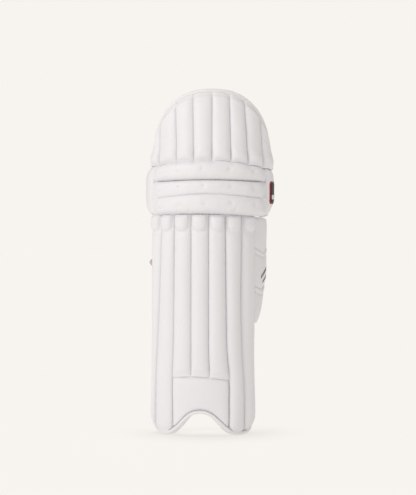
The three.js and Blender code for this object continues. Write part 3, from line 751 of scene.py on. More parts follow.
# thin dark cord along the binding's top edge: a painted shadow line where the covers tuck in behind the binding
sq, zq = ssb + ms * (BH + 0.1), zb + mz * (BH + 0.1)
C = pt("shin", sq, zq, 7.5)[14:-14]
Nn = (pt("shin", sq, zq, 8.5) - pt("shin", sq, zq, 7.5))[14:-14]
Nn /= np.linalg.norm(Nn, axis=1, keepdims=True)
T = np.gradient(C, axis=0)
T /= np.linalg.norm(T, axis=1, keepdims=True)
ang_ = np.arange(8) * math.pi / 4
ob = sweep("binding_fold", C, Nn, np.cross(T, Nn), np.stack([np.cos(ang_), np.sin(ang_)], -1) * 0.00055)
put(ob, FOLD, "shin", "binding_leather")

# ------------------------------------------------------------------ wing
W0 = SHIN_R * 59.4 * RAD
WEND = [[214, 10], [221, 17], [231, 27], [241, 36], [251, 41.5], [271, 50], [290, 56], [301, 60], [325, 69], [430, 72]]
CH = [
    [[0, 377], [50.6, 364], [73, 380]],
    [[0, 365.5], [50.6, 355.5], [73, 368]],
    [[0, 299], [38.6, 290], [60, 301]],
    [[0, 288.5], [38.6, 278], [58, 289]],
]
LOWE = [[0, 222], [17, 222], [27, 231], [36, 241], [41.5, 251], [50, 266], [58, 280]]
wend = lambda z: soft_tab(WEND, z, 6) + 1
ch = lambda i: (lambda s: soft_tab(CH[i], s, 4))


def wing_cover(name, lo, hi, amp, body_nodes, fill, v0, p):
    u = cosgrid(24, 0.4)[None, :]
    n = max(int(round(v0 / STEP)), 5)
    v = cosgrid(n, 0.25)[:, None]
    Z = 330 + 0 * (u + v)
    S = 30 + 0 * Z
    for _ in range(25):
        S = 0.3 + u * (wend(Z) - 0.3)
        Z = lo(S) * (1 - v) + hi(S) * v
    H = amp * prof(u, 5.5, 0.6) * (0.68 + 0.32 * prof(v, p, 0.6)) + 0.35 * wob(S, Z, 50, len(name)) * prof(u, 4)
    Sheet(name, "wing", "shin", W0 + S, Z, 0.6 + H, -8.0, LEA, body_nodes, fill=fill, cap=1.6, pucker=0.4)


wing_cover("wing_cover_upper", ch(0), lambda s: 438.4 - 3.5 * s / WING_LEN + 0 * s, 6.5, ["wing_panel_upper"], 0.6, 66, 5.0)
wing_cover("wing_chevron_upper", ch(1), ch(0), 7.2, ["wing_band_upper"], 0.7, 12, 2.4)
wing_cover("wing_cover_middle", ch(2), ch(1), 6.8, ["wing_panel_middle"], 0.6, 68, 5.0)
wing_cover("wing_chevron_lower", ch(3), ch(2), 7.2, ["wing_band_lower"], 0.7, 12, 2.4)
wing_cover("wing_cover_lower", lambda s: soft_tab(LOWE, s, 5), ch(3), 6.0, ["wing_panel_lower"], 0.6, 50, 4.0)
for i in range(4):
    ssw = np.linspace(2, {0: 70, 1: 69, 2: 57, 3: 53}[i], 60)
    C = pt("shin", W0 + ssw, ch(i)(ssw), 5.2)
    stitch("wing_thread", "wing", C[3:-3], (C - pt("shin", W0 + ssw, ch(i)(ssw), 4.2))[3:-3])
zz = np.arange(228, 430, 3.0)
C = pt("shin", W0 + 1.4 + 0 * zz, zz, 2.0)
stitch("wing_thread", "wing", C, C - pt("shin", W0 + 1.4 + 0 * zz, zz, 1.0))
# rolled edge round the wing's free side
edge = [(s, 437.8 - 3.5 * s / WING_LEN) for s in np.linspace(2, 68, 22)]
edge += [(float(wend(z)) - 0.6, z) for z in np.linspace(431.5, 240, 64)]
edge += [(s, float(soft_tab(LOWE, s, 5)) + 0.5) for s in np.linspace(34, 3, 14)]
edge = np.array(edge)
for _ in range(3):
    edge[1:-1] = 0.25 * edge[:-2] + 0.5 * edge[1:-1] + 0.25 * edge[2:]
C = pt("shin", W0 + edge[:, 0], edge[:, 1], -2.5)
T = np.gradient(C, axis=0)
T /= np.linalg.norm(T, axis=1, keepdims=True)
Nn = pt("shin", W0 + edge[:, 0], edge[:, 1], -1.5) - C
Nn /= np.linalg.norm(Nn, axis=1, keepdims=True)
Bb = np.cross(T, Nn)
ob = sweep("wing_edge_binding", C, Nn, Bb, rrect(9.4, 4.6, 2.2, 4) * 0.001)
put(ob, LEB, "wing", "binding_leather")
C2 = C + Nn * 0.0048 + Bb * 0.0
stitch("wing_binding_thread", "wing", C2, Nn, pitch=0.0044, lift=-0.0002)

# ------------------------------------------------------------------ knee rolls
K1 = [[-90, 508], [15, 510.5], [126, 508]]
K2 = [[-90, 474], [15, 484], [126, 473.5]]
KB = [[-90, 440.6], [15, 443.4], [126, 439.0]]
KT = [[-125, 536.8], [-90, 537.5], [-71, 540.5], [-40, 545], [15, KNEE_TOP], [60, 546], [96, 539.5], [113, 536.5], [126, 534.5], [135, 530.5], [150, 529.5]]
KS = KNEE_R * KNEE_TH * RAD
TS = s_of("top", [-77.2, -47.2, -12.4, 23.8, 61, 92.6, 121.2])


def scal_x(x):
    """scalloped line where each top hat roll meets the knee rolls, by front x"""
    e = np.array([-103.0, -76.4, -42.4, -10.4, 23.8, 60.2, 92.6, 121.2, 147.0])
    i = np.clip(np.searchsorted(e, x) - 1, 0, 7)
    t = (x - e[i]) / (e[i + 1] - e[i])
    return 2.4 * (1 - (2 * t - 1) ** 2)


def kedge(t, s, w=30):
    x = sec("knee", s, 500.0)[0]
    return soft_tab(t, x, 7 if t is KT else w)


TACKS = [[(-71.6, 524), (-40, 528.8), (5.6, 532), (54.8, 530.8), (98.4, 526.4)],
         [(-72.6, 490.2), (-37.4, 496.8), (8, 498.2), (57.4, 497.2), (99.2, 492.2)],
         [(-71.2, 455.2), (-35.2, 459.6), (10.6, 462.8), (57.4, 464), (100.4, 461)]]
edges = [KB, K2, K1, KT]
vals = [(-1.0, 11.5), (11.5, 4.0), (4.0, 4.5)]
for k, nm in enumerate(("lower", "middle", "upper")):
    u = np.linspace(0, 1, int(2 * KS / STEP) + 1)[None, :]
    v = cosgrid(14, 0.5)[:, None]
    S = -KS + 2 * KS * u + 0 * v
    lo, hi = kedge(edges[k], S), kedge(edges[k + 1], S)
    x = sec("knee", S, 500.0)[0]
    if k == 2:
        hi = hi + scal_x(x)
    Z = lo * (1 - v) + hi * v
    lov, hiv = vals[k]
    amp = (17.5, 16.6, 17.2)[k]
    basev = lov * (1 - v) + hiv * v
    endd = np.minimum(S + KS, KS - S)
    P_ = prof(v, 2.8, 0.56)
    top_v = 9.0 + (amp - 9.0) * sstep(0, 24, endd)
    D = basev + (top_v - basev) * P_
    D = np.where(endd < 8, D * 1.0, D)
    D = D + (0.8 * wob(S, Z, 55, 31 + k) + 0.3 * wob(S, Z, 22, 36 + k)) * P_
    if k == 0:      # two small gathers at the lower edge
        for sx, a in ((-21, 1.8), (62, 2.2)):
            s0 = float(s_of("knee", sx))
            D = D - a * bump1(S - s0 - 0.5 * (Z - 444), 2.8) * bump1(Z - 446, 9)
    pins = np.zeros(S.shape)
    ks = []
    for tx, tz in TACKS[2 - k]:
        ts = float(s_of("knee", tx))
        r = np.hypot(S - ts, Z - tz)
        D = D - 1.5 * bump1(r, 4.2) - 0.5 * bump1(r, 11)
        pins[np.unravel_index(np.argmin(r), r.shape)] = 1.0
        ks.append((ts, tz, np.unravel_index(np.argmin(r), r.shape)))
    h = Sheet(f"knee_roll_cover_{nm}", "knee", "knee", S, Z, D, -BASE, LEA, [f"knee_roll_{nm}"], fill=0.9, cap=2.2, pucker=0.35, pins=pins)
    h.tacks = ks

# side panels
def side_lo(k, s_):
    return soft_tab([[0, 441.2], [18, 443.5], [38, 449], [56, 458], [68, 469], [74, 481]] if k < 0 else
                    [[0, 439.0], [18, 441.0], [38, 447], [56, 457], [68, 468], [74, 480]], s_, 5)


def side_hi(k, s_):
    return soft_tab([[0, 538.4], [20, 537.5], [40, 535], [60, 528], [70, 519], [74, 509]] if k < 0 else
                    [[-10, 537.5], [0, 535.2], [10, 532.5], [20, 531], [40, 529], [60, 524], [70, 516], [74, 508]], s_, 5)


for k in (-1, 1):
    nm = "inner" if k < 0 else "outer"
    u = cosgrid(26, 0.3)[None, :]
    if k < 0:
        u = 1 - u[:, ::-1]
    v = cosgrid(30, 0.4)[:, None]
    q = (1 - u) if k < 0 else u
    s_ = q * 74.0
    lo = side_lo(k, s_)
    hi = side_hi(k, s_)
    Z = lo * (1 - v) + hi * v
    S = k * (KS + s_) + 0 * v
    amp = 8.4 if k < 0 else 10.8
    Pu = np.clip(1 - np.clip((q - 0.0), 0, 1) ** 7, 0, 1) ** 0.55
    Pv = prof(v, 5.0, 0.55) + 0 * s_
    if k > 0:      # fuller under the top hat's corner, drawn in towards the shin
        Pv = np.where(v < 0.5, prof(v, 2.6, 0.75), Pv + (1 - Pv) * 0.82 * (1 - sstep(34, 60, s_)))
    D = 0.6 + (amp + 1.2 * bump1(s_ - 30, 30) - 2.8 * bump1(s_, 5.0)) * Pu * Pv + 0.5 * wob(S, Z, 45, 41 + k)
    Sheet(f"knee_side_cover_{nm}", "knee", "knee", S, Z, D, -8.0, LEA, [f"knee_side_panel_{nm}"], fill=0.7, cap=2.0, pucker=0.35)
    # rolled edge round the free side
    e = [(s, float(side_lo(k, s))) for s in np.linspace(0.5, 66, 26)]
    e += [(74.0, z) for z in np.linspace(480, 511, 10)]
    e += [(s, float(side_hi(k, s))) for s in np.linspace(67, 0.5, 26)]
    e = np.array(e)
    for _ in range(4):
        e[1:-1] = 0.25 * e[:-2] + 0.5 * e[1:-1] + 0.25 * e[2:]
    C = pt("knee", k * (KS + e[:, 0]), e[:, 1], -3.6)
    Nn = pt("knee", k * (KS + e[:, 0]), e[:, 1], -2.6) - C
    Nn /= np.linalg.norm(Nn, axis=1, keepdims=True)
    T = np.gradient(C, axis=0)
    T /= np.linalg.norm(T, axis=1, keepdims=True)
    Bb = np.cross(T, Nn)
    ob = sweep(f"knee_side_binding_{nm}", C, Nn, Bb, rrect(11.0, 4.4, 2.1, 4) * 0.001)
    put(ob, LEB, "knee", "binding_leather")
    stitch("side_binding_thread", "knee", C + Nn * 0.0056, Nn, pitch=0.0044, lift=-0.0002)
    zz = np.arange(446, 534, 3.0)
    C = pt("knee", k * KS + 0 * zz, zz, 8.0)
    stitch("knee_seam_thread", "knee", C, C - pt("knee", k * KS + 0 * zz, zz, 7.0), lift=-0.0006)

# ------------------------------------------------------------------ top hat
DOME = [[549, 63.4], [571, 60.5], [591, 58.1], [611, 55.1], [621, 53], [631, 50.3], [641, 47.2], [651, 43.7], [661, 38.7], [671, 33.2], [681, 26], [688, 18], [691.5, 10.5], [693, 0]]
dome = np.array([[-(TOP_R + 4) * a * RAD, z] for z, a in [[541, 63.8]] + DOME] + [[(TOP_R + 4) * a * RAD, z] for z, a in ([[533, 64.2]] + DOME[:-1])[::-1]])
tt = np.linspace(0, 1, 400)
dl = np.concatenate([[0], np.cumsum(np.hypot(*np.diff(dome, axis=0).T))])
dome = np.stack([np.interp(tt * dl[-1], dl, dome[:, 0]), np.interp(tt * dl[-1], dl, dome[:, 1])], -1)
for _ in range(60):
    dome[1:-1] = 0.25 * dome[:-2] + 0.5 * dome[1:-1] + 0.25 * dome[2:]


def inset(r):
    t = np.gradient(dome, axis=0)
    t /= np.linalg.norm(t, axis=1, keepdims=True)
    q = dome + np.stack([t[:, 1], -t[:, 0]], -1) * r
    q[:, 0] *= TOP_R / (TOP_R + 4)
    return q


ROLLTOP = inset(2 * PIPE_R - 1.6)
t_edge = ROLLTOP[0][0]
TSX = np.concatenate([[t_edge + 0.3], TS, [-t_edge - 0.3]])
base_t = lambda s: soft_tab(KT, sec("top", s, 560.0)[0], 7) + 0.4 + tab([[0, 0], [100, 0], [118, 1.0], [160, 1.4]], np.abs(s))
LEAN = {1: (0.8, 2.0), 2: (5.0, 2.0), 3: (2.2, 0.4), 4: (0.0, 0.5), 5: (-1.0, -3.0), 6: (0.0, -6.5), 7: (0.0, -7.5)}


def top_seam(k, z):
    """seam k of the top hat, each leaning a little with height"""
    if k in (0, 8):
        return TSX[k] + 0 * z
    p, q = LEAN[k]
    return TSX[k] + p + (q - p) * np.clip((z - 545) / 100.0, 0, 1.25)


for k in range(8):
    u = cosgrid(13, 0.5)[None, :]
    v = np.linspace(0, 1, nrows(549, 690 if 1 < k < 6 else 650) + 1)[:, None]
    Z = 600 + 0 * (u + v)
    for _ in range(12):
        S = top_seam(k, Z) * (1 - u) + top_seam(k + 1, Z) * u
        x = sec("top", S[:1], 560.0)[0]
        lo = base_t(S[:1]) + scal_x(x) - 0.8
        hi = np.maximum(np.interp(S[-1:], ROLLTOP[:, 0], ROLLTOP[:, 1]), lo + 5)
        Z = lo * (1 - v) + hi * v
    lo, hi = lo + 0 * Z, hi + 0 * Z
    amp = 6.7 if 0 < k < 7 else 6.5
    H = amp * prof(u, 2.5, 0.64)
    up, dn = Z - lo, hi - Z
    H = H * (0.5 + 0.5 * sstep(0, 9, up)) * (0.42 + 0.58 * sstep(0, 12, dn))
    H = H + 3.2 * bump1(up - 17, 11) * prof(u, 2) - 0.8 * bump1(dn - 20, 9) * prof(u, 2)
    H = H + 0.7 * wob(S, Z, 56, 50 + k) * prof(u, 2) * sstep(0, 20, dn)
    if k == 7:      # a slanting crease on the last roll
        H = H - 1.5 * bump1((Z - 600) + 1.1 * (S - top_seam(7, Z)) - 2, 3.0)
    Sheet(f"top_hat_cover_{k + 1}", "top_hat", "top", S, Z, 5.1 - 2.8 * (1 - sstep(0, 14, dn)) + H, -BASE, LEA, [f"top_hat_roll_{k + 1}"], fill=0.8, cap=2.2, pucker=0.3)
    if k < 7:
        zs = np.arange(553, float(np.interp(top_seam(k + 1, 645.0), ROLLTOP[:, 0], ROLLTOP[:, 1])) - 5, 2.0)
        C = pt("top", top_seam(k + 1, zs), zs, 6.0)
        stitch("top_hat_thread", "top_hat", C, C - pt("top", top_seam(k + 1, zs), zs, 5.0), r=0.00045)
# arc positions and front x along the join of the top hat and the knee rolls
sj = np.linspace(-128, 128, 160)
xj = sec("top", sj, 550.0)[0]

# piped edge: a rolled band, flatter than round, with soft wrinkles
pc = inset(PIPE_R)
C = pt("top", pc[:, 0], pc[:, 1], 0.3)[::2]
Nn = (pt("top", pc[:, 0], pc[:, 1], 1.3)[::2] - C)
Nn /= np.linalg.norm(Nn, axis=1, keepdims=True)
T = np.gradient(C, axis=0)
T /= np.linalg.norm(T, axis=1, keepdims=True)
Bb = np.cross(T, Nn)
base_r = rrect(15.0, 9.0, 4.0, 6)
rings = np.repeat(base_r[None], len(C), 0)
for i in range(len(C)):
    rings[i] *= 1 + 0.02 * math.sin(i * 1.7) + 0.02 * math.sin(i * 0.61 + 2)
rings[..., 0] -= 2.6
ob = sweep("top_hat_piped_edge", C, Nn, Bb, rings * 0.001)
put(ob, LEB, "top_hat", "binding_leather", ["top_hat_piping"])
pc2 = inset(2 * PIPE_R - 2.4)
C2 = pt("top", pc2[:, 0], pc2[:, 1], 4.9)[4:-4]
N2 = C2 - pt("top", pc2[:, 0], pc2[:, 1], 3.9)[4:-4]
stitch("piping_thread", "top_hat", C2, N2, pitch=0.0044, lift=-0.0004)

# ------------------------------------------------------------------ rear side
def sheet_area(Q):
    a = np.cross(Q[1:, :-1] - Q[:-1, :-1], Q[:-1, 1:] - Q[:-1, :-1])
    b = np.cross(Q[1:, :-1] - Q[1:, 1:], Q[:-1, 1:] - Q[1:, 1:])
    return 0.5 * (np.linalg.norm(a, axis=-1).sum() + np.linalg.norm(b, axis=-1).sum())


def lining(name, body, regs, S, Z, d0, d1, nodes, amp=0.5, blend=None, mat=None, held="stretched", rests=None):
    """thin cloth-covered board or gusset between depth d0 (front) and d1 (rear)"""
    w = amp * wob(S, Z, 42, len(name)) if amp else 0
    if callable(regs):
        A_, B_ = regs(S, Z, d0), regs(S, Z, d1 - w)
    else:
        A_, B_ = pt(regs, S, Z, d0), pt(regs, S, Z, d1 - w)
    nv, nu = S.shape[0] - 1, S.shape[1] - 1
    n = (nu + 1) * (nv + 1)
    loop = [i for i in range(nu + 1)] + [j * (nu + 1) + nu for j in range(1, nv + 1)] + [nv * (nu + 1) + i for i in range(nu - 1, -1, -1)] + [j * (nu + 1) for j in range(nv - 1, 0, -1)]
    F = grid_faces(nu, nv).tolist() + grid_faces(nu, nv, n, True).tolist()
    for a, b in zip(loop, loop[1:] + loop[:1]):
        F.append((b, a, a + n, b + n))
    ob = new_obj(name, np.concatenate([A_.reshape(-1, 3), B_.reshape(-1, 3)]), F)
    outward(ob)
    ob.data.materials.append(mat or LINC)
    if blend:
        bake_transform(ob)
    else:
        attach(ob, body)
    if nodes:
        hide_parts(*nodes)
    ar = sheet_area(B_)
    W = float(np.linalg.norm(np.diff(B_, axis=1), axis=-1).sum(axis=1).max())
    L = float(np.linalg.norm(np.diff(B_, axis=0), axis=-1).sum(axis=0).max())
    W, L = round(W + 0.0006, 3), round(L + 0.0006, 3)
    return ob


a, b = SHIN_R * SHIN_L * RAD, SHIN_R * 59.4 * RAD
u = np.linspace(0, 1, 61)[None, :]
v = np.linspace(0, 1, 90)[:, None]
S = a + (b - a) * u + 0 * v
lo = z_bot(S) + 6.5
Z = lo + (SHIN_TOP + 1 - lo) * v
lining("shin_lining_board", "shin", "shin", S, Z, -BASE - 0.1, -BASE - LINING, ["shin_lining"], rests=[])
S = -KS + 2 * KS * u + 0 * v[:30]
v2 = np.linspace(0, 1, 30)[:, None]
lo, hi = kedge(KB, S) + 0.5, kedge(KT, S) - 0.5
Z = lo + (hi - lo) * v2
lining("knee_lining_board", "knee", "knee", S, Z, -BASE - 0.1, -BASE - LINING, ["knee_lining"])
S = (t_edge + 1) * (1 - u) + (-t_edge - 1) * u + 0 * v2
lo = base_t(S) + 0.5
hi = np.maximum(np.interp(S, ROLLTOP[:, 0], ROLLTOP[:, 1]) + 0.5, lo + 4)
Z = lo + (hi - lo) * v2
lining("top_hat_lining_board", "top_hat", "top", S, Z, -BASE - 0.1, -BASE - LINING - 2.6, ["top_hat_lining"])
v3 = np.linspace(0, 1, 46)[:, None]
u3 = np.linspace(0, 1, 22)[None, :]
Zw = 330 + 0 * (u3 + v3)
for _ in range(20):
    Sw = 1 + u3 * (np.minimum(wend(Zw), 73) - 4.6)
    Zw = (soft_tab(LOWE, Sw, 5) + 1.5) * (1 - v3) + (436.5 - 3.5 * Sw / WING_LEN) * v3
# thinner along its free edge, where the straps turn over it
lining("wing_lining_cloth", "wing", "shin", W0 + Sw, Zw, -8.1, -11.0 + 1.9 * sstep(60, 65, Sw), ["wing_lining"])


def rear_pad(name, body, reg, s0, s1, zlo, zhi, dbase, depth, nodes, p=2.6, flat_foot=False, cap=2.2, dents=()):
    u = cosgrid(13, 0.35)[None, :]
    S = s0 + (s1 - s0) * u
    lo = zlo(S) if callable(zlo) else zlo + 0 * S
    v = cosgrid(max(int(round((zhi - float(np.mean(lo))) / STEP)), 8), 0.1)[:, None]
    Z = lo * (1 - v) + zhi * v
    S = S + 0 * v
    ends = (1.0 if flat_foot else sstep(0, 16, Z - lo) * 0.55 + 0.45) * (0.45 + 0.55 * sstep(0, 16, zhi - Z))
    H = depth * prof(u, p, 0.55) * ends + 0.7 * wob(S, Z, 60, len(name)) * prof(u, 2)
    for zc_ in dents:      # quilting lines straight across
        H = H - 4.5 * bump1(Z - zc_, 4.0) * prof(u, 3)
    D = dbase - 0.8 - H
    Sheet(name, body, reg, S, Z, D, dbase + 0.25, BOLC, nodes, fill=0.8, cap=cap, flip=True, pucker=0.5, slot="bolster_cloth")
    zz = np.arange(float(np.max(lo)) + 3, zhi - 3, 3.0)
    for s in (s0 + 1.2, s1 - 1.2):
        C = pt(reg, s + 0 * zz, zz, dbase - 2.4)
        stitch("rear_thread_" + body, body, C, C - pt(reg, s + 0 * zz, zz, dbase - 1.4))


DB = -BASE - LINING - 0.4


def z_pad(s):
    """foot of a side bolster, cut to the arch as seen straight on"""
    x = SHIN_XC + (sec("shin", s, 100.0)[0] - SHIN_XC) * (SHIN_R - 30.0) / SHIN_R
    return np.maximum(np.maximum(z_bot(s), soft_tab(ZB, x, 3.4)) + 0.6, 0.6)


rear_pad("bolster_inner_pad", "shin", "shin", SHIN_R * -61.6 * RAD, SHIN_R * -36 * RAD, z_pad, 428, DB, 17.5, ["bolster_inner_side"], flat_foot=True, dents=(150, 290))
rear_pad("bolster_centre_pad", "shin", "shin", SHIN_R * -15 * RAD, SHIN_R * 17 * RAD, 78, 426, DB, 20.0, ["bolster_centre"], p=3.0, dents=(165, 252, 340))
rear_pad("bolster_outer_pad", "shin", "shin", SHIN_R * 34 * RAD, SHIN_R * 59.0 * RAD, z_pad, 428, DB, 17.5, ["bolster_outer_side"], flat_foot=True, dents=(150, 290))
for k in (-1, 1):
    s0, s1 = sorted((k * KNEE_R * 15.5 * RAD, k * KNEE_R * 44.5 * RAD))
    rear_pad(f"knee_cradle_pad_{'inner' if k < 0 else 'outer'}", "knee", "knee", s0, s1, 455.5, 534.5, DB - 0.4, 21.0, [f"knee_cradle_{'inner' if k < 0 else 'outer'}"], p=3.0)
# soft padding on the leg side of both knee side panels
for k in (-1, 1):
    u = cosgrid(16, 0.4)[None, :]
    v = cosgrid(22, 0.4)[:, None]
    s_ = 2 + 68 * u
    lo, hi = side_lo(k, s_) + 2.5, side_hi(k, s_) - 2.5
    Z = lo * (1 - v) + hi * v
    S = k * (KS + s_) + 0 * v
    H = 3.4 * prof(u, 5.0, 0.6) * prof(v, 5.0, 0.6) + 0.3 * wob(S, Z, 30, 77 + k)
    if k < 0:
        S, Z, H = S[:, ::-1], Z[:, ::-1], H[:, ::-1]
    Sheet(f"knee_side_lining_{'inner' if k < 0 else 'outer'}", "knee", "knee", S, Z, -8.6 - H, -7.6, BOLC, [], fill=0.4, cap=1.0, flip=True, pucker=0.3, slot="lining_cloth")

# bound long edges
def edge_band(name, ang, z0, z1, node):
    s = SHIN_R * ang * RAD
    k = 1 if ang > 0 else -1
    c, sn = k * math.cos(ang * RAD), math.sin(abs(ang) * RAD)
    zz = np.linspace(z0, z1, int((z1 - z0) / 3))
    C = pt("shin", s + 0 * zz, zz, -14.0)
    Nn = pt("shin", s + 0 * zz, zz, -13.0) - C
    Nn /= np.linalg.norm(Nn, axis=1, keepdims=True)
    T2 = np.tile(np.array([[c, sn, 0.0]]), (len(zz), 1))
    C = C + T2 * 0.0017
    ring = rrect(32.0, 3.0, 1.35, 4)
    rings = np.repeat(ring[None], len(zz), 0)
    rings[..., 1] += 0.15 * np.sin(zz / 5.0 + 0.4 * np.sin(zz / 31.0))[:, None] * (ring[None, :, 1] > 0)
    # rear corner rounded off at both ends
    endz = np.minimum(zz - z0, z1 - zz)
    cut_ = 24.0 * (1 - np.sqrt(np.clip(1 - (1 - np.clip(endz / 24.0, 0, 1)) ** 2, 0, 1)))
    rings[..., 0] = np.where(rings[..., 0] < 0, np.maximum(rings[..., 0], -16.0 + cut_[:, None]), rings[..., 0])
    ob = sweep(name, C, Nn, T2, rings * 0.001)
    put(ob, LEB, "shin", "binding_leather", [node])
    for dd in (13.0, -13.5):
        C2 = C + Nn * dd * 0.001 + T2 * 0.0015
        stitch("edge_thread", "shin", C2[2:-2], T2[2:-2], pitch=0.0044, lift=0.0001)
    return s, c, sn


sL = edge_band("inner_edge_bound", SHIN_L, 34, 432, "inner_edge_binding")
sR = edge_band("outer_edge_bound", SHIN_RT, 34, 205, "outer_edge_binding")


def at(side, d, t, z):
    s, c, sn = side
    p = pt("shin", s, z, d)
    return p + np.array([c, sn, 0.0]) * t * 0.001


# ------------------------------------------------------------------ straps
def catmull(P, n=400):
    P = np.array(P, float)
    l = len(P)
    out = []
    for t in np.linspace(0, 1, n):
        p = (l - 1) * t
        i = min(int(math.floor(p)), l - 2)
        w = p - i
        p0 = P[i - 1] if i > 0 else 2 * P[0] - P[1]
        p1, p2 = P[i], P[i + 1]
        p3 = P[i + 2] if i + 2 < l else 2 * P[-1] - P[-2]
        d0, d1, d2 = [max(np.linalg.norm(x) ** 0.5, 1e-4) for x in (p1 - p0, p2 - p1, p3 - p2)]
        t1 = ((p1 - p0) / d0 - (p2 - p0) / (d0 + d1) + (p2 - p1) / d1) * d1
        t2 = ((p2 - p1) / d1 - (p3 - p1) / (d1 + d2) + (p3 - p2) / d2) * d1
        out.append(p1 + t1 * w + (-3 * p1 + 3 * p2 - 2 * t1 - t2) * w * w + (2 * p1 - 2 * p2 + t1 + t2) * w ** 3)
    return np.array(out)


def xy(p):
    return [p[0] * 1000 - SHX, p[1] * 1000 - SHY]


tip = [xy(at(sL, d, 8.6, 300)) for d in (-29, -15, 1)]
long_tip = [xy(at(sL, d, t_, 300)) for d, t_ in ((-29, 8.6), (-15, 8.6), (1, 8.6), (8.5, 8.4))]
win = xy(pt("shin", W0 + 66, 300, -15.2))
low = [xy(at(sR, d, 3.6, 300)) for d in (-8, -18)]
PATHS = {
    "knee": [win, [112, 128], [94, 136], [55, 141], [5, 136], [-35, 117], [-57, 94], *tip],
    "calf": [win, [112, 128], [94, 136], [55, 141], [5, 136], [-35, 117], [-57, 94], *long_tip],
    "ankle": [*low, [84, 84], [68, 104], [35, 118], [0, 119], [-34, 107], [-56, 90], *tip],
}
for nm, zc in STRAP_Z.items():
    C = catmull(PATHS[nm])
    d = np.concatenate([[0], np.cumsum(np.linalg.norm(np.diff(C, axis=0), axis=1))])
    n = int(d[-1] / 2.4)
    t = np.linspace(0, d[-1], n)
    C = np.stack([np.interp(t, d, C[:, 0]), np.interp(t, d, C[:, 1])], -1)
    Tn = np.gradient(C, axis=0)
    Tn /= np.linalg.norm(Tn, axis=1, keepdims=True)
    Nn = np.stack([-Tn[:, 1], Tn[:, 0]], -1)
    if C[n // 2, 1] + Nn[n // 2, 1] < C[n // 2, 1]:
        Nn = -Nn
    mid = C + Nn * 1.5
    C3 = np.concatenate([(mid + [SHX, SHY]) * 0.001, np.full((n, 1), zc * 0.001)], 1)
    N3 = np.concatenate([Nn, np.zeros((n, 1))], 1)
    Z3 = np.tile([[0.0, 0, 1.0]], (n, 1))
    # webbing section: five shallow ribs and thick selvedges
    top_, bot_ = [], []
    for q in np.linspace(-1, 1, 41):
        rib = 0.16 * math.cos(q * math.pi * 10) + (0.22 if abs(q) > 0.9 else 0)
        h_ = 1.18 + rib
        e_ = 1 - max(0, (abs(q) - 0.955) / 0.045) ** 2 * 0.75
        top_.append((h_ * e_, q * STRAP_W / 2))
        bot_.append((-(h_ - 0.1) * e_, q * STRAP_W / 2))
    ring = np.array(top_ + bot_[::-1])
    rings = np.repeat(ring[None], n, 0)
    for i in range(n):
        rem = d[-1] - t[i]
        len_, end_ = (20.0, 0.08) if nm == "calf" else (11.0, 0.4)
        f = 1.0 if rem > len_ else end_ + (1 - end_) * (rem / len_) ** 0.8
        rings[i, :, 1] *= f * (1 + 0.006 * math.sin(t[i] / 9))
        rings[i, :, 0] += 0.12 * math.sin(t[i] / 2.4 * math.pi) * np.sign(ring[:, 0])
    ob = sweep(f"{nm}_strap_web", C3, N3, Z3, rings * 0.001)
    put(ob, WEB, f"{nm}_strap_body", "strap_webbing", [f"{nm}_strap"])
    # sewn turn at the free end, and the sewn root
    for sgn in (-1, 1):
        w = (t > d[-1] - 40) & (t < d[-1] - 17)
        P_ = C3[w] + N3[w] * 0.0014 + Z3[w] * sgn * 0.0155
        stitch(f"{nm}_strap_thread", f"{nm}_strap_body", P_, N3[w], pitch=0.0036)
    for at_ in (40, 17.5):
        i = int(np.argmin(np.abs(t - (d[-1] - at_))))
        q = np.linspace(-0.0155, 0.0155, 20)
        P_ = C3[i] + N3[i] * 0.0014 + q[:, None] * np.array([0, 0, 1.0])
        stitch(f"{nm}_strap_thread", f"{nm}_strap_body", P_, np.tile(N3[i], (20, 1)), pitch=0.0036)

    def tape(name, t0, t1, d0, d1, hw, mat, body, node, sl):
        nu_, nv_ = 24, 26
        S_ = np.linspace(d0, d1, nu_)
        Zq = np.linspace(-hw, hw, nv_)
        A_ = np.array([[at(sL, s, t1 + 0.06 * math.sin(s * 2.1 + q * 1.3) * math.cos(q * 1.9 - s), zc + q) for s in S_] for q in Zq])
        B_ = np.array([[at(sL, s, t0, zc + q) for s in S_] for q in Zq])
        m_ = nu_ * nv_
        F = grid_faces(nu_ - 1, nv_ - 1).tolist() + grid_faces(nu_ - 1, nv_ - 1, m_, True).tolist()
        lp = [i for i in range(nu_)] + [j * nu_ + nu_ - 1 for j in range(1, nv_)] + [(nv_ - 1) * nu_ + i for i in range(nu_ - 2, -1, -1)] + [j * nu_ for j in range(nv_ - 2, 0, -1)]
        for a_, b_ in zip(lp, lp[1:] + lp[:1]):
            F.append((b_, a_, a_ + m_, b_ + m_))
        ob = new_obj(name, np.concatenate([A_.reshape(-1, 3), B_.reshape(-1, 3)]), F)
        outward(ob)
        put(ob, mat, body, sl, [node])

    tape(f"{nm}_hook_tape", 8.0, 6.3, -26, -8.5, 16, HOOK, f"{nm}_strap_body", f"{nm}_strap_hook", "hook_tape")
    tape(f"{nm}_loop_tape", 3.5, 5.7, -28, 1, 18, LOOP, "shin", f"{nm}_strap_loop", "loop_tape")
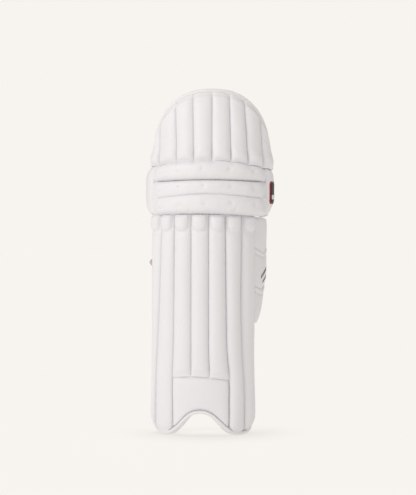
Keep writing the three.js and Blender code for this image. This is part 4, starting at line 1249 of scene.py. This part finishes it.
    # sewn anchor tab that the strap grows from, on the fixed side
    if nm == "ankle":
        n_ = 12
        sd = np.linspace(-24, -7, n_)
        A_ = np.array([at(sR, s, 3.2, zc) for s in sd])
        Nn_ = np.tile(np.array([[sR[1], sR[2], 0.0]]), (n_, 1))
        body = "shin"
    else:
        sd = np.linspace(40, 65, 16)
        A_ = pt("shin", W0 + sd, zc + 0 * sd, -11.2)
        Nn_ = A_ - pt("shin", W0 + sd, zc + 0 * sd, -10.2)
        body = "wing"
    Nn_ = Nn_ / np.linalg.norm(Nn_, axis=1, keepdims=True)
    Zt = np.tile([[0, 0, 1.0]], (len(A_), 1))
    ob = sweep(f"{nm}_strap_anchor", A_ + Nn_ * 0.0009, Nn_, Zt, (np.array(top_ + bot_[::-1]) * [0.75, 1.0]) * 0.001)
    put(ob, WEB, body, "strap_webbing")
    if nm != "ankle":
        m0, m1 = 2, len(A_) - 3
        for (i0, z0_), (i1, z1_) in (((m0, -14), (m1, 14)), ((m0, 14), (m1, -14)), ((m0, -14), (m0, 14)), ((m1, -14), (m1, 14)), ((m0, -14), (m1, -14)), ((m0, 14), (m1, 14))):
            w = np.linspace(0, 1, 16)[:, None]
            P_ = (A_[i0] * (1 - w) + A_[i1] * w) + Nn_[i0] * 0.0019
            P_[:, 2] += (z0_ * (1 - w[:, 0]) + z1_ * w[:, 0]) * 0.001
            stitch(f"{nm}_anchor_thread", body, P_, np.tile(Nn_[i0], (16, 1)), pitch=0.0034)

# ------------------------------------------------------------------ gussets across the joints
def two(regA, regB, z0, z1):
    """section that turns from one region's surface to the next between two heights"""
    def f(U, Z, d):
        w = sstep(z0, z1, Z)[..., None]
        sa = SHIN_R * (SHIN_L + 1.0) * RAD + (SHIN_R * (59.0 - SHIN_L - 1.0) * RAD) * U if regA == "shin" else -KS + 2 + (2 * KS - 4) * U
        sb = -KS + 4 + (2 * KS - 8) * U if regB == "knee" else (t_edge + 4) + (-2 * t_edge - 8) * U
        return pt(regA, sa, Z, d) * (1 - w) + pt(regB, sb, Z, d) * w
    return f


u = np.linspace(0, 1, 70)[None, :]
v = np.linspace(0, 1, 24)[:, None]
U = u + 0 * v
Z = 425 + 36 * v + 0 * u
lining("knee_flex_gusset", None, two("shin", "knee", 432, 452), U, Z, -6.0, -8.6, [], amp=0.0, blend=("shin", "knee", (0, 0.0, 0.4375), (0, 0.0, 0.4475)), mat=LEA)


def top_gusset(U, V_, d):
    sa = -KS - 10 + (2 * KS + 20) * U
    sb = (t_edge + 3) + (-2 * t_edge - 6) * U
    jz = base_t(sb)
    Zg = jz - 11 + 23 * V_
    w = sstep(-5, 6, Zg - jz)[..., None]
    return pt("knee", sa, Zg, d) * (1 - w) + pt("top", sb, Zg, d) * w


lining("top_hat_flex_gusset", None, top_gusset, U, v + 0 * u, -5.0, -7.6, [], amp=0.0, blend=("knee", "top_hat", (0, 0.0, 0.541), (0, 0.0, 0.553)), mat=LEA)
# strip that closes the fold between the outer roll and the wing
S = W0 + -9 + 18 * np.linspace(0, 1, 14)[None, :] + 0 * np.linspace(0, 1, 50)[:, None]
Z = 233 + 197 * np.linspace(0, 1, 50)[:, None] + 0 * S
ga, gb = pt("shin", W0 - 4.0, 330.0, -4.0), pt("shin", W0 + 4.0, 330.0, -4.0)
lining("wing_fold_gusset", None, "shin", S, Z, -3.0, -5.2, [], amp=0.0, blend=("shin", "wing", tuple(map(float, ga)), tuple(map(float, gb))), mat=LEA)

# ------------------------------------------------------------------ settle the covers, then build them
simulate()
for h in Sheet.all:
    build_sheet(h)
for h in Sheet.all:
    if hasattr(h, "tacks"):
        N = grid_normals(h.P, h.flip)
        for ts, tz, (j, i) in h.tacks:
            c, nn = h.P[j, i], N[j, i]
            tx = np.array([-nn[1], nn[0], 0.0])
            tx /= np.linalg.norm(tx)
            q = np.linspace(-0.0028, 0.0028, 6)[:, None]
            stitch("tack_thread", "knee", c + nn * 0.0002 + q * (tx * 0.9 + np.array([0, 0, 0.4])), np.tile(nn, (6, 1)), pitch=0.0028, length=0.0026, r=0.0006)


def laid(name, h, S, Z, t0, t1, mat, body, sl, nodes=(), soft=1.2):
    """thin piece that lies on a settled cover, over a grid of (s, z) points"""
    Q, Sg, Zg = h.P, h.S, h.Z
    for _ in range(2):
        Q, Sg, Zg = map(upsample, (Q, Sg, Zg))
    N = grid_normals(Q, h.flip)
    q, sg, zg, nn = Q.reshape(-1, 3), Sg.reshape(-1), Zg.reshape(-1), N.reshape(-1, 3)
    P_, M_ = np.zeros(S.shape + (3,)), np.zeros(S.shape + (3,))
    for j in range(S.shape[0]):
        for i in range(S.shape[1]):
            r2 = (sg - S[j, i]) ** 2 + (zg - Z[j, i]) ** 2
            k_ = np.argpartition(r2, 6)[:6]
            w_ = 1 / (r2[k_] + 0.15)
            w_ /= w_.sum()
            P_[j, i] = (q[k_] * w_[:, None]).sum(0)
            M_[j, i] = (nn[k_] * w_[:, None]).sum(0)
    ref = pt(h.reg, S, Z, 0.0)
    tilt = ref - np.array([[pt(h.reg, sg[0], zg[0], 0.0)]])
    M_ /= np.linalg.norm(M_, axis=-1, keepdims=True)
    # keep the exact outline: height over the base surface only
    up = pt(h.reg, S, Z, 1.0) - ref
    up /= np.linalg.norm(up, axis=-1, keepdims=True)
    hgt = ((P_ - ref) * up).sum(-1)
    for _ in range(2):
        if min(hgt.shape) > 4:
            hgt[1:-1, 1:-1] = 0.4 * hgt[1:-1, 1:-1] + 0.15 * (hgt[2:, 1:-1] + hgt[:-2, 1:-1] + hgt[1:-1, 2:] + hgt[1:-1, :-2])
    nv, nu = S.shape[0] - 1, S.shape[1] - 1
    ed = np.minimum(np.minimum(*np.meshgrid(np.arange(nu + 1), np.arange(nv + 1))), np.minimum(*np.meshgrid(nu - np.arange(nu + 1), nv - np.arange(nv + 1))))
    rise = np.where(ed == 0, t1 * 0.45, t1)
    A_ = ref + up * (hgt + rise * 0.001)[..., None]
    B_ = ref + up * (hgt + t0 * 0.001)[..., None]
    n = (nu + 1) * (nv + 1)
    loop = [i for i in range(nu + 1)] + [j * (nu + 1) + nu for j in range(1, nv + 1)] + [nv * (nu + 1) + i for i in range(nu - 1, -1, -1)] + [j * (nu + 1) for j in range(nv - 1, 0, -1)]
    F = grid_faces(nu, nv).tolist() + grid_faces(nu, nv, n, True).tolist()
    for a_, b_ in zip(loop, loop[1:] + loop[:1]):
        F.append((b_, a_, a_ + n, b_ + n))
    ob = new_obj(name, np.concatenate([A_.reshape(-1, 3), B_.reshape(-1, 3)]), F)
    outward(ob)
    put(ob, mat, body, sl, nodes)
    return ob


by_name = {h.name: h for h in Sheet.all}


def patch(name, s0, s1, z0, z1, t1, mat, nodes=(), r=5.0):
    """plain woven patch with rounded corners on the outer side panel"""
    u = np.linspace(0, 1, 16)[None, :]
    v = np.linspace(0, 1, 22)[:, None]
    S = KS + s0 + (s1 - s0) * u + 0 * v
    Z = z0 + (z1 - z0) * v + 0 * u
    cx = np.clip(np.abs(S - KS - (s0 + s1) / 2) - ((s1 - s0) / 2 - r), 0, None)
    pull = np.where(cx > 0, r - np.sqrt(np.clip(r * r - cx * cx, 0, None)), 0)
    mid = (z0 + z1) / 2
    Z = mid + (Z - mid) * ((z1 - z0) / 2 - pull) / ((z1 - z0) / 2)
    return laid(name, by_name["knee_side_cover_outer"], S, Z, -0.8, t1, mat, "knee", "patch", nodes)


patch("side_patch_edge", 7.0, 37, 464, 510, 1.0, PATCHR, ["side_patch"])
patch("side_patch_face", 9.4, 34.6, 466.6, 507.4, 1.7, PATCH, r=3.6)
patch("side_patch_bar", 11.5, 32.5, 473.5, 483, 2.3, PATCHW, r=1.5)
# two rows of plain slanting dashes printed on the wing's middle panel, no lettering
for r_, (sa, za, n_, w_) in enumerate(((31.5, 315.5, 4, 7.6), (39.5, 305.5, 3, 6.0))):
    for i in range(n_):
        uu = np.linspace(0, 1, 6)[None, :]
        vv = np.linspace(0, 1, 6)[:, None]
        s_ = sa + i * 7.6 + 5.2 * uu + 1.2 * vv
        z_ = za + i * 4.6 + 3.1 * uu + w_ * (vv - 0.5)
        laid(f"wing_print_dash_{r_ + 1}{i + 1}", by_name["wing_cover_middle"], W0 + s_, z_, -0.3, 0.35, INK, "wing", "patch")
flush_threads(THREAD)

# inner cores keep their frame shape and get cane
for name, ob in frame["nodes"].items():
    o = ob if hasattr(ob, "material_slots") else bpy.data.objects.get(name)
    if o is None:
        continue
    if "core" in name:
        if len(o.data.materials) == 0:
            o.data.materials.append(CANE)
        for i in range(len(o.material_slots)):
            o.material_slots[i].material = CANE

# ------------------------------------------------------------------ stage, light, camera
SKY = lin(247, 244, 240)
SKY_LIT = 0.62                     # the sky's share as a light, against its plain look
SUN_E, SUN_DIR = 0.80, (-0.78, -0.80, 0.62)
FILL_E, FILL_DIR = 0.10, (0.75, -1.0, 0.25)
FLOOR_A = 0.07
TOP_E, TOP_DIR = 5.6, (0.0, 0.03, 1.0)     # overhead light that only the floor takes


def stage_mat():
    """matt paper whose plain tone equals the backdrop's, and still takes a contact shadow"""
    M = Mat("stage_paper")
    grain = M.mapr(M.noise(90.0, 2.0), 0.3, 0.7, 0, 1)
    a_ = FLOOR_A
    M.l(M.mix(grain, (a_ * 0.995, a_ * 0.995, a_ * 0.995, 1), (a_ * 1.005, a_ * 1.005, a_ * 1.005, 1)), M.b.inputs["Base Color"])
    M.l(M.mapr(grain, 0, 1, 0.96, 1.0), M.b.inputs["Roughness"])
    M.b.inputs["Specular IOR Level"].default_value = 0.0
    sun = 0.0
    for e, d in ((TOP_E, TOP_DIR),):
        sun += e * d[2] / math.sqrt(sum(q * q for q in d)) / math.pi
    rest = [SKY[i] - a_ * (SKY[i] * SKY_LIT + sun) for i in range(3)]
    top_ = max(rest)
    M.b.inputs["Emission Color"].default_value = tuple(q / top_ for q in rest) + (1.0,)
    M.b.inputs["Emission Strength"].default_value = top_
    return M.m


fl = new_obj("floor", [(-60, -30, 0), (60, -30, 0), (60, 60, 0), (-60, 60, 0)], [(0, 1, 2, 3)], smooth=False)
fl.data.materials.append(stage_mat())

world = bpy.data.worlds.new("studio")
bpy.context.scene.world = world
world.use_nodes = True
bg = world.node_tree.nodes["Background"]
bg.inputs["Color"].default_value = SKY
wt = world.node_tree
lp = wt.nodes.new("ShaderNodeLightPath")
seen = wt.nodes.new("ShaderNodeMapRange")
seen.inputs["To Min"].default_value = SKY_LIT
seen.inputs["To Max"].default_value = 1.0
wt.links.new(lp.outputs["Is Camera Ray"], seen.inputs["Value"])
wt.links.new(seen.outputs[0], bg.inputs["Strength"])


def soft_sun(name, direction, energy, spread):
    L = bpy.data.lights.new(name, "SUN")
    L.energy = energy
    L.angle = math.radians(spread)
    o = bpy.data.objects.new(name, L)
    bpy.context.scene.collection.objects.link(o)
    from mathutils import Vector
    o.location = tuple(3 * q for q in direction)
    o.rotation_euler = Vector([-q for q in direction]).to_track_quat("-Z", "Y").to_euler()
    return o


k1 = soft_sun("key", SUN_DIR, SUN_E, 42)
k2 = soft_sun("fill", FILL_DIR, FILL_E, 60)
k3 = soft_sun("overhead", TOP_DIR, TOP_E, 15)
# a soft box high on the left, for the object only
sb = bpy.data.lights.new("soft_box", "AREA")
sb.shape = "RECTANGLE"
sb.size, sb.size_y = 0.9, 0.9
sb.energy = 5.0
so = bpy.data.objects.new("soft_box", sb)
bpy.context.scene.collection.objects.link(so)
from mathutils import Vector
so.location = (-1.25, -1.35, 1.35)
so.rotation_euler = Vector((1.25, 1.35, -0.85)).to_track_quat("-Z", "Y").to_euler()
lit = bpy.data.collections.new("object_only")
for q in bpy.context.scene.objects:
    if q.type == "MESH" and q is not fl:
        lit.objects.link(q)
for q in (so, k1, k2):
    q.light_linking.receiver_collection = lit
only_floor = bpy.data.collections.new("floor_only")
only_floor.objects.link(fl)
k3.light_linking.receiver_collection = only_floor

cam = bpy.data.cameras.new("camera")
cam.lens = 100.0
cam.sensor_width = 36.0
cam.clip_end = 200
co = bpy.data.objects.new("camera", cam)
bpy.context.scene.collection.objects.link(co)
co.location = (-0.0042, -2.798, 0.376)
co.rotation_euler = (math.radians(90), 0, 0)
bpy.context.scene.camera = co
bpy.context.scene.view_settings.view_transform = "Standard"
bpy.context.scene.view_settings.look = "None"
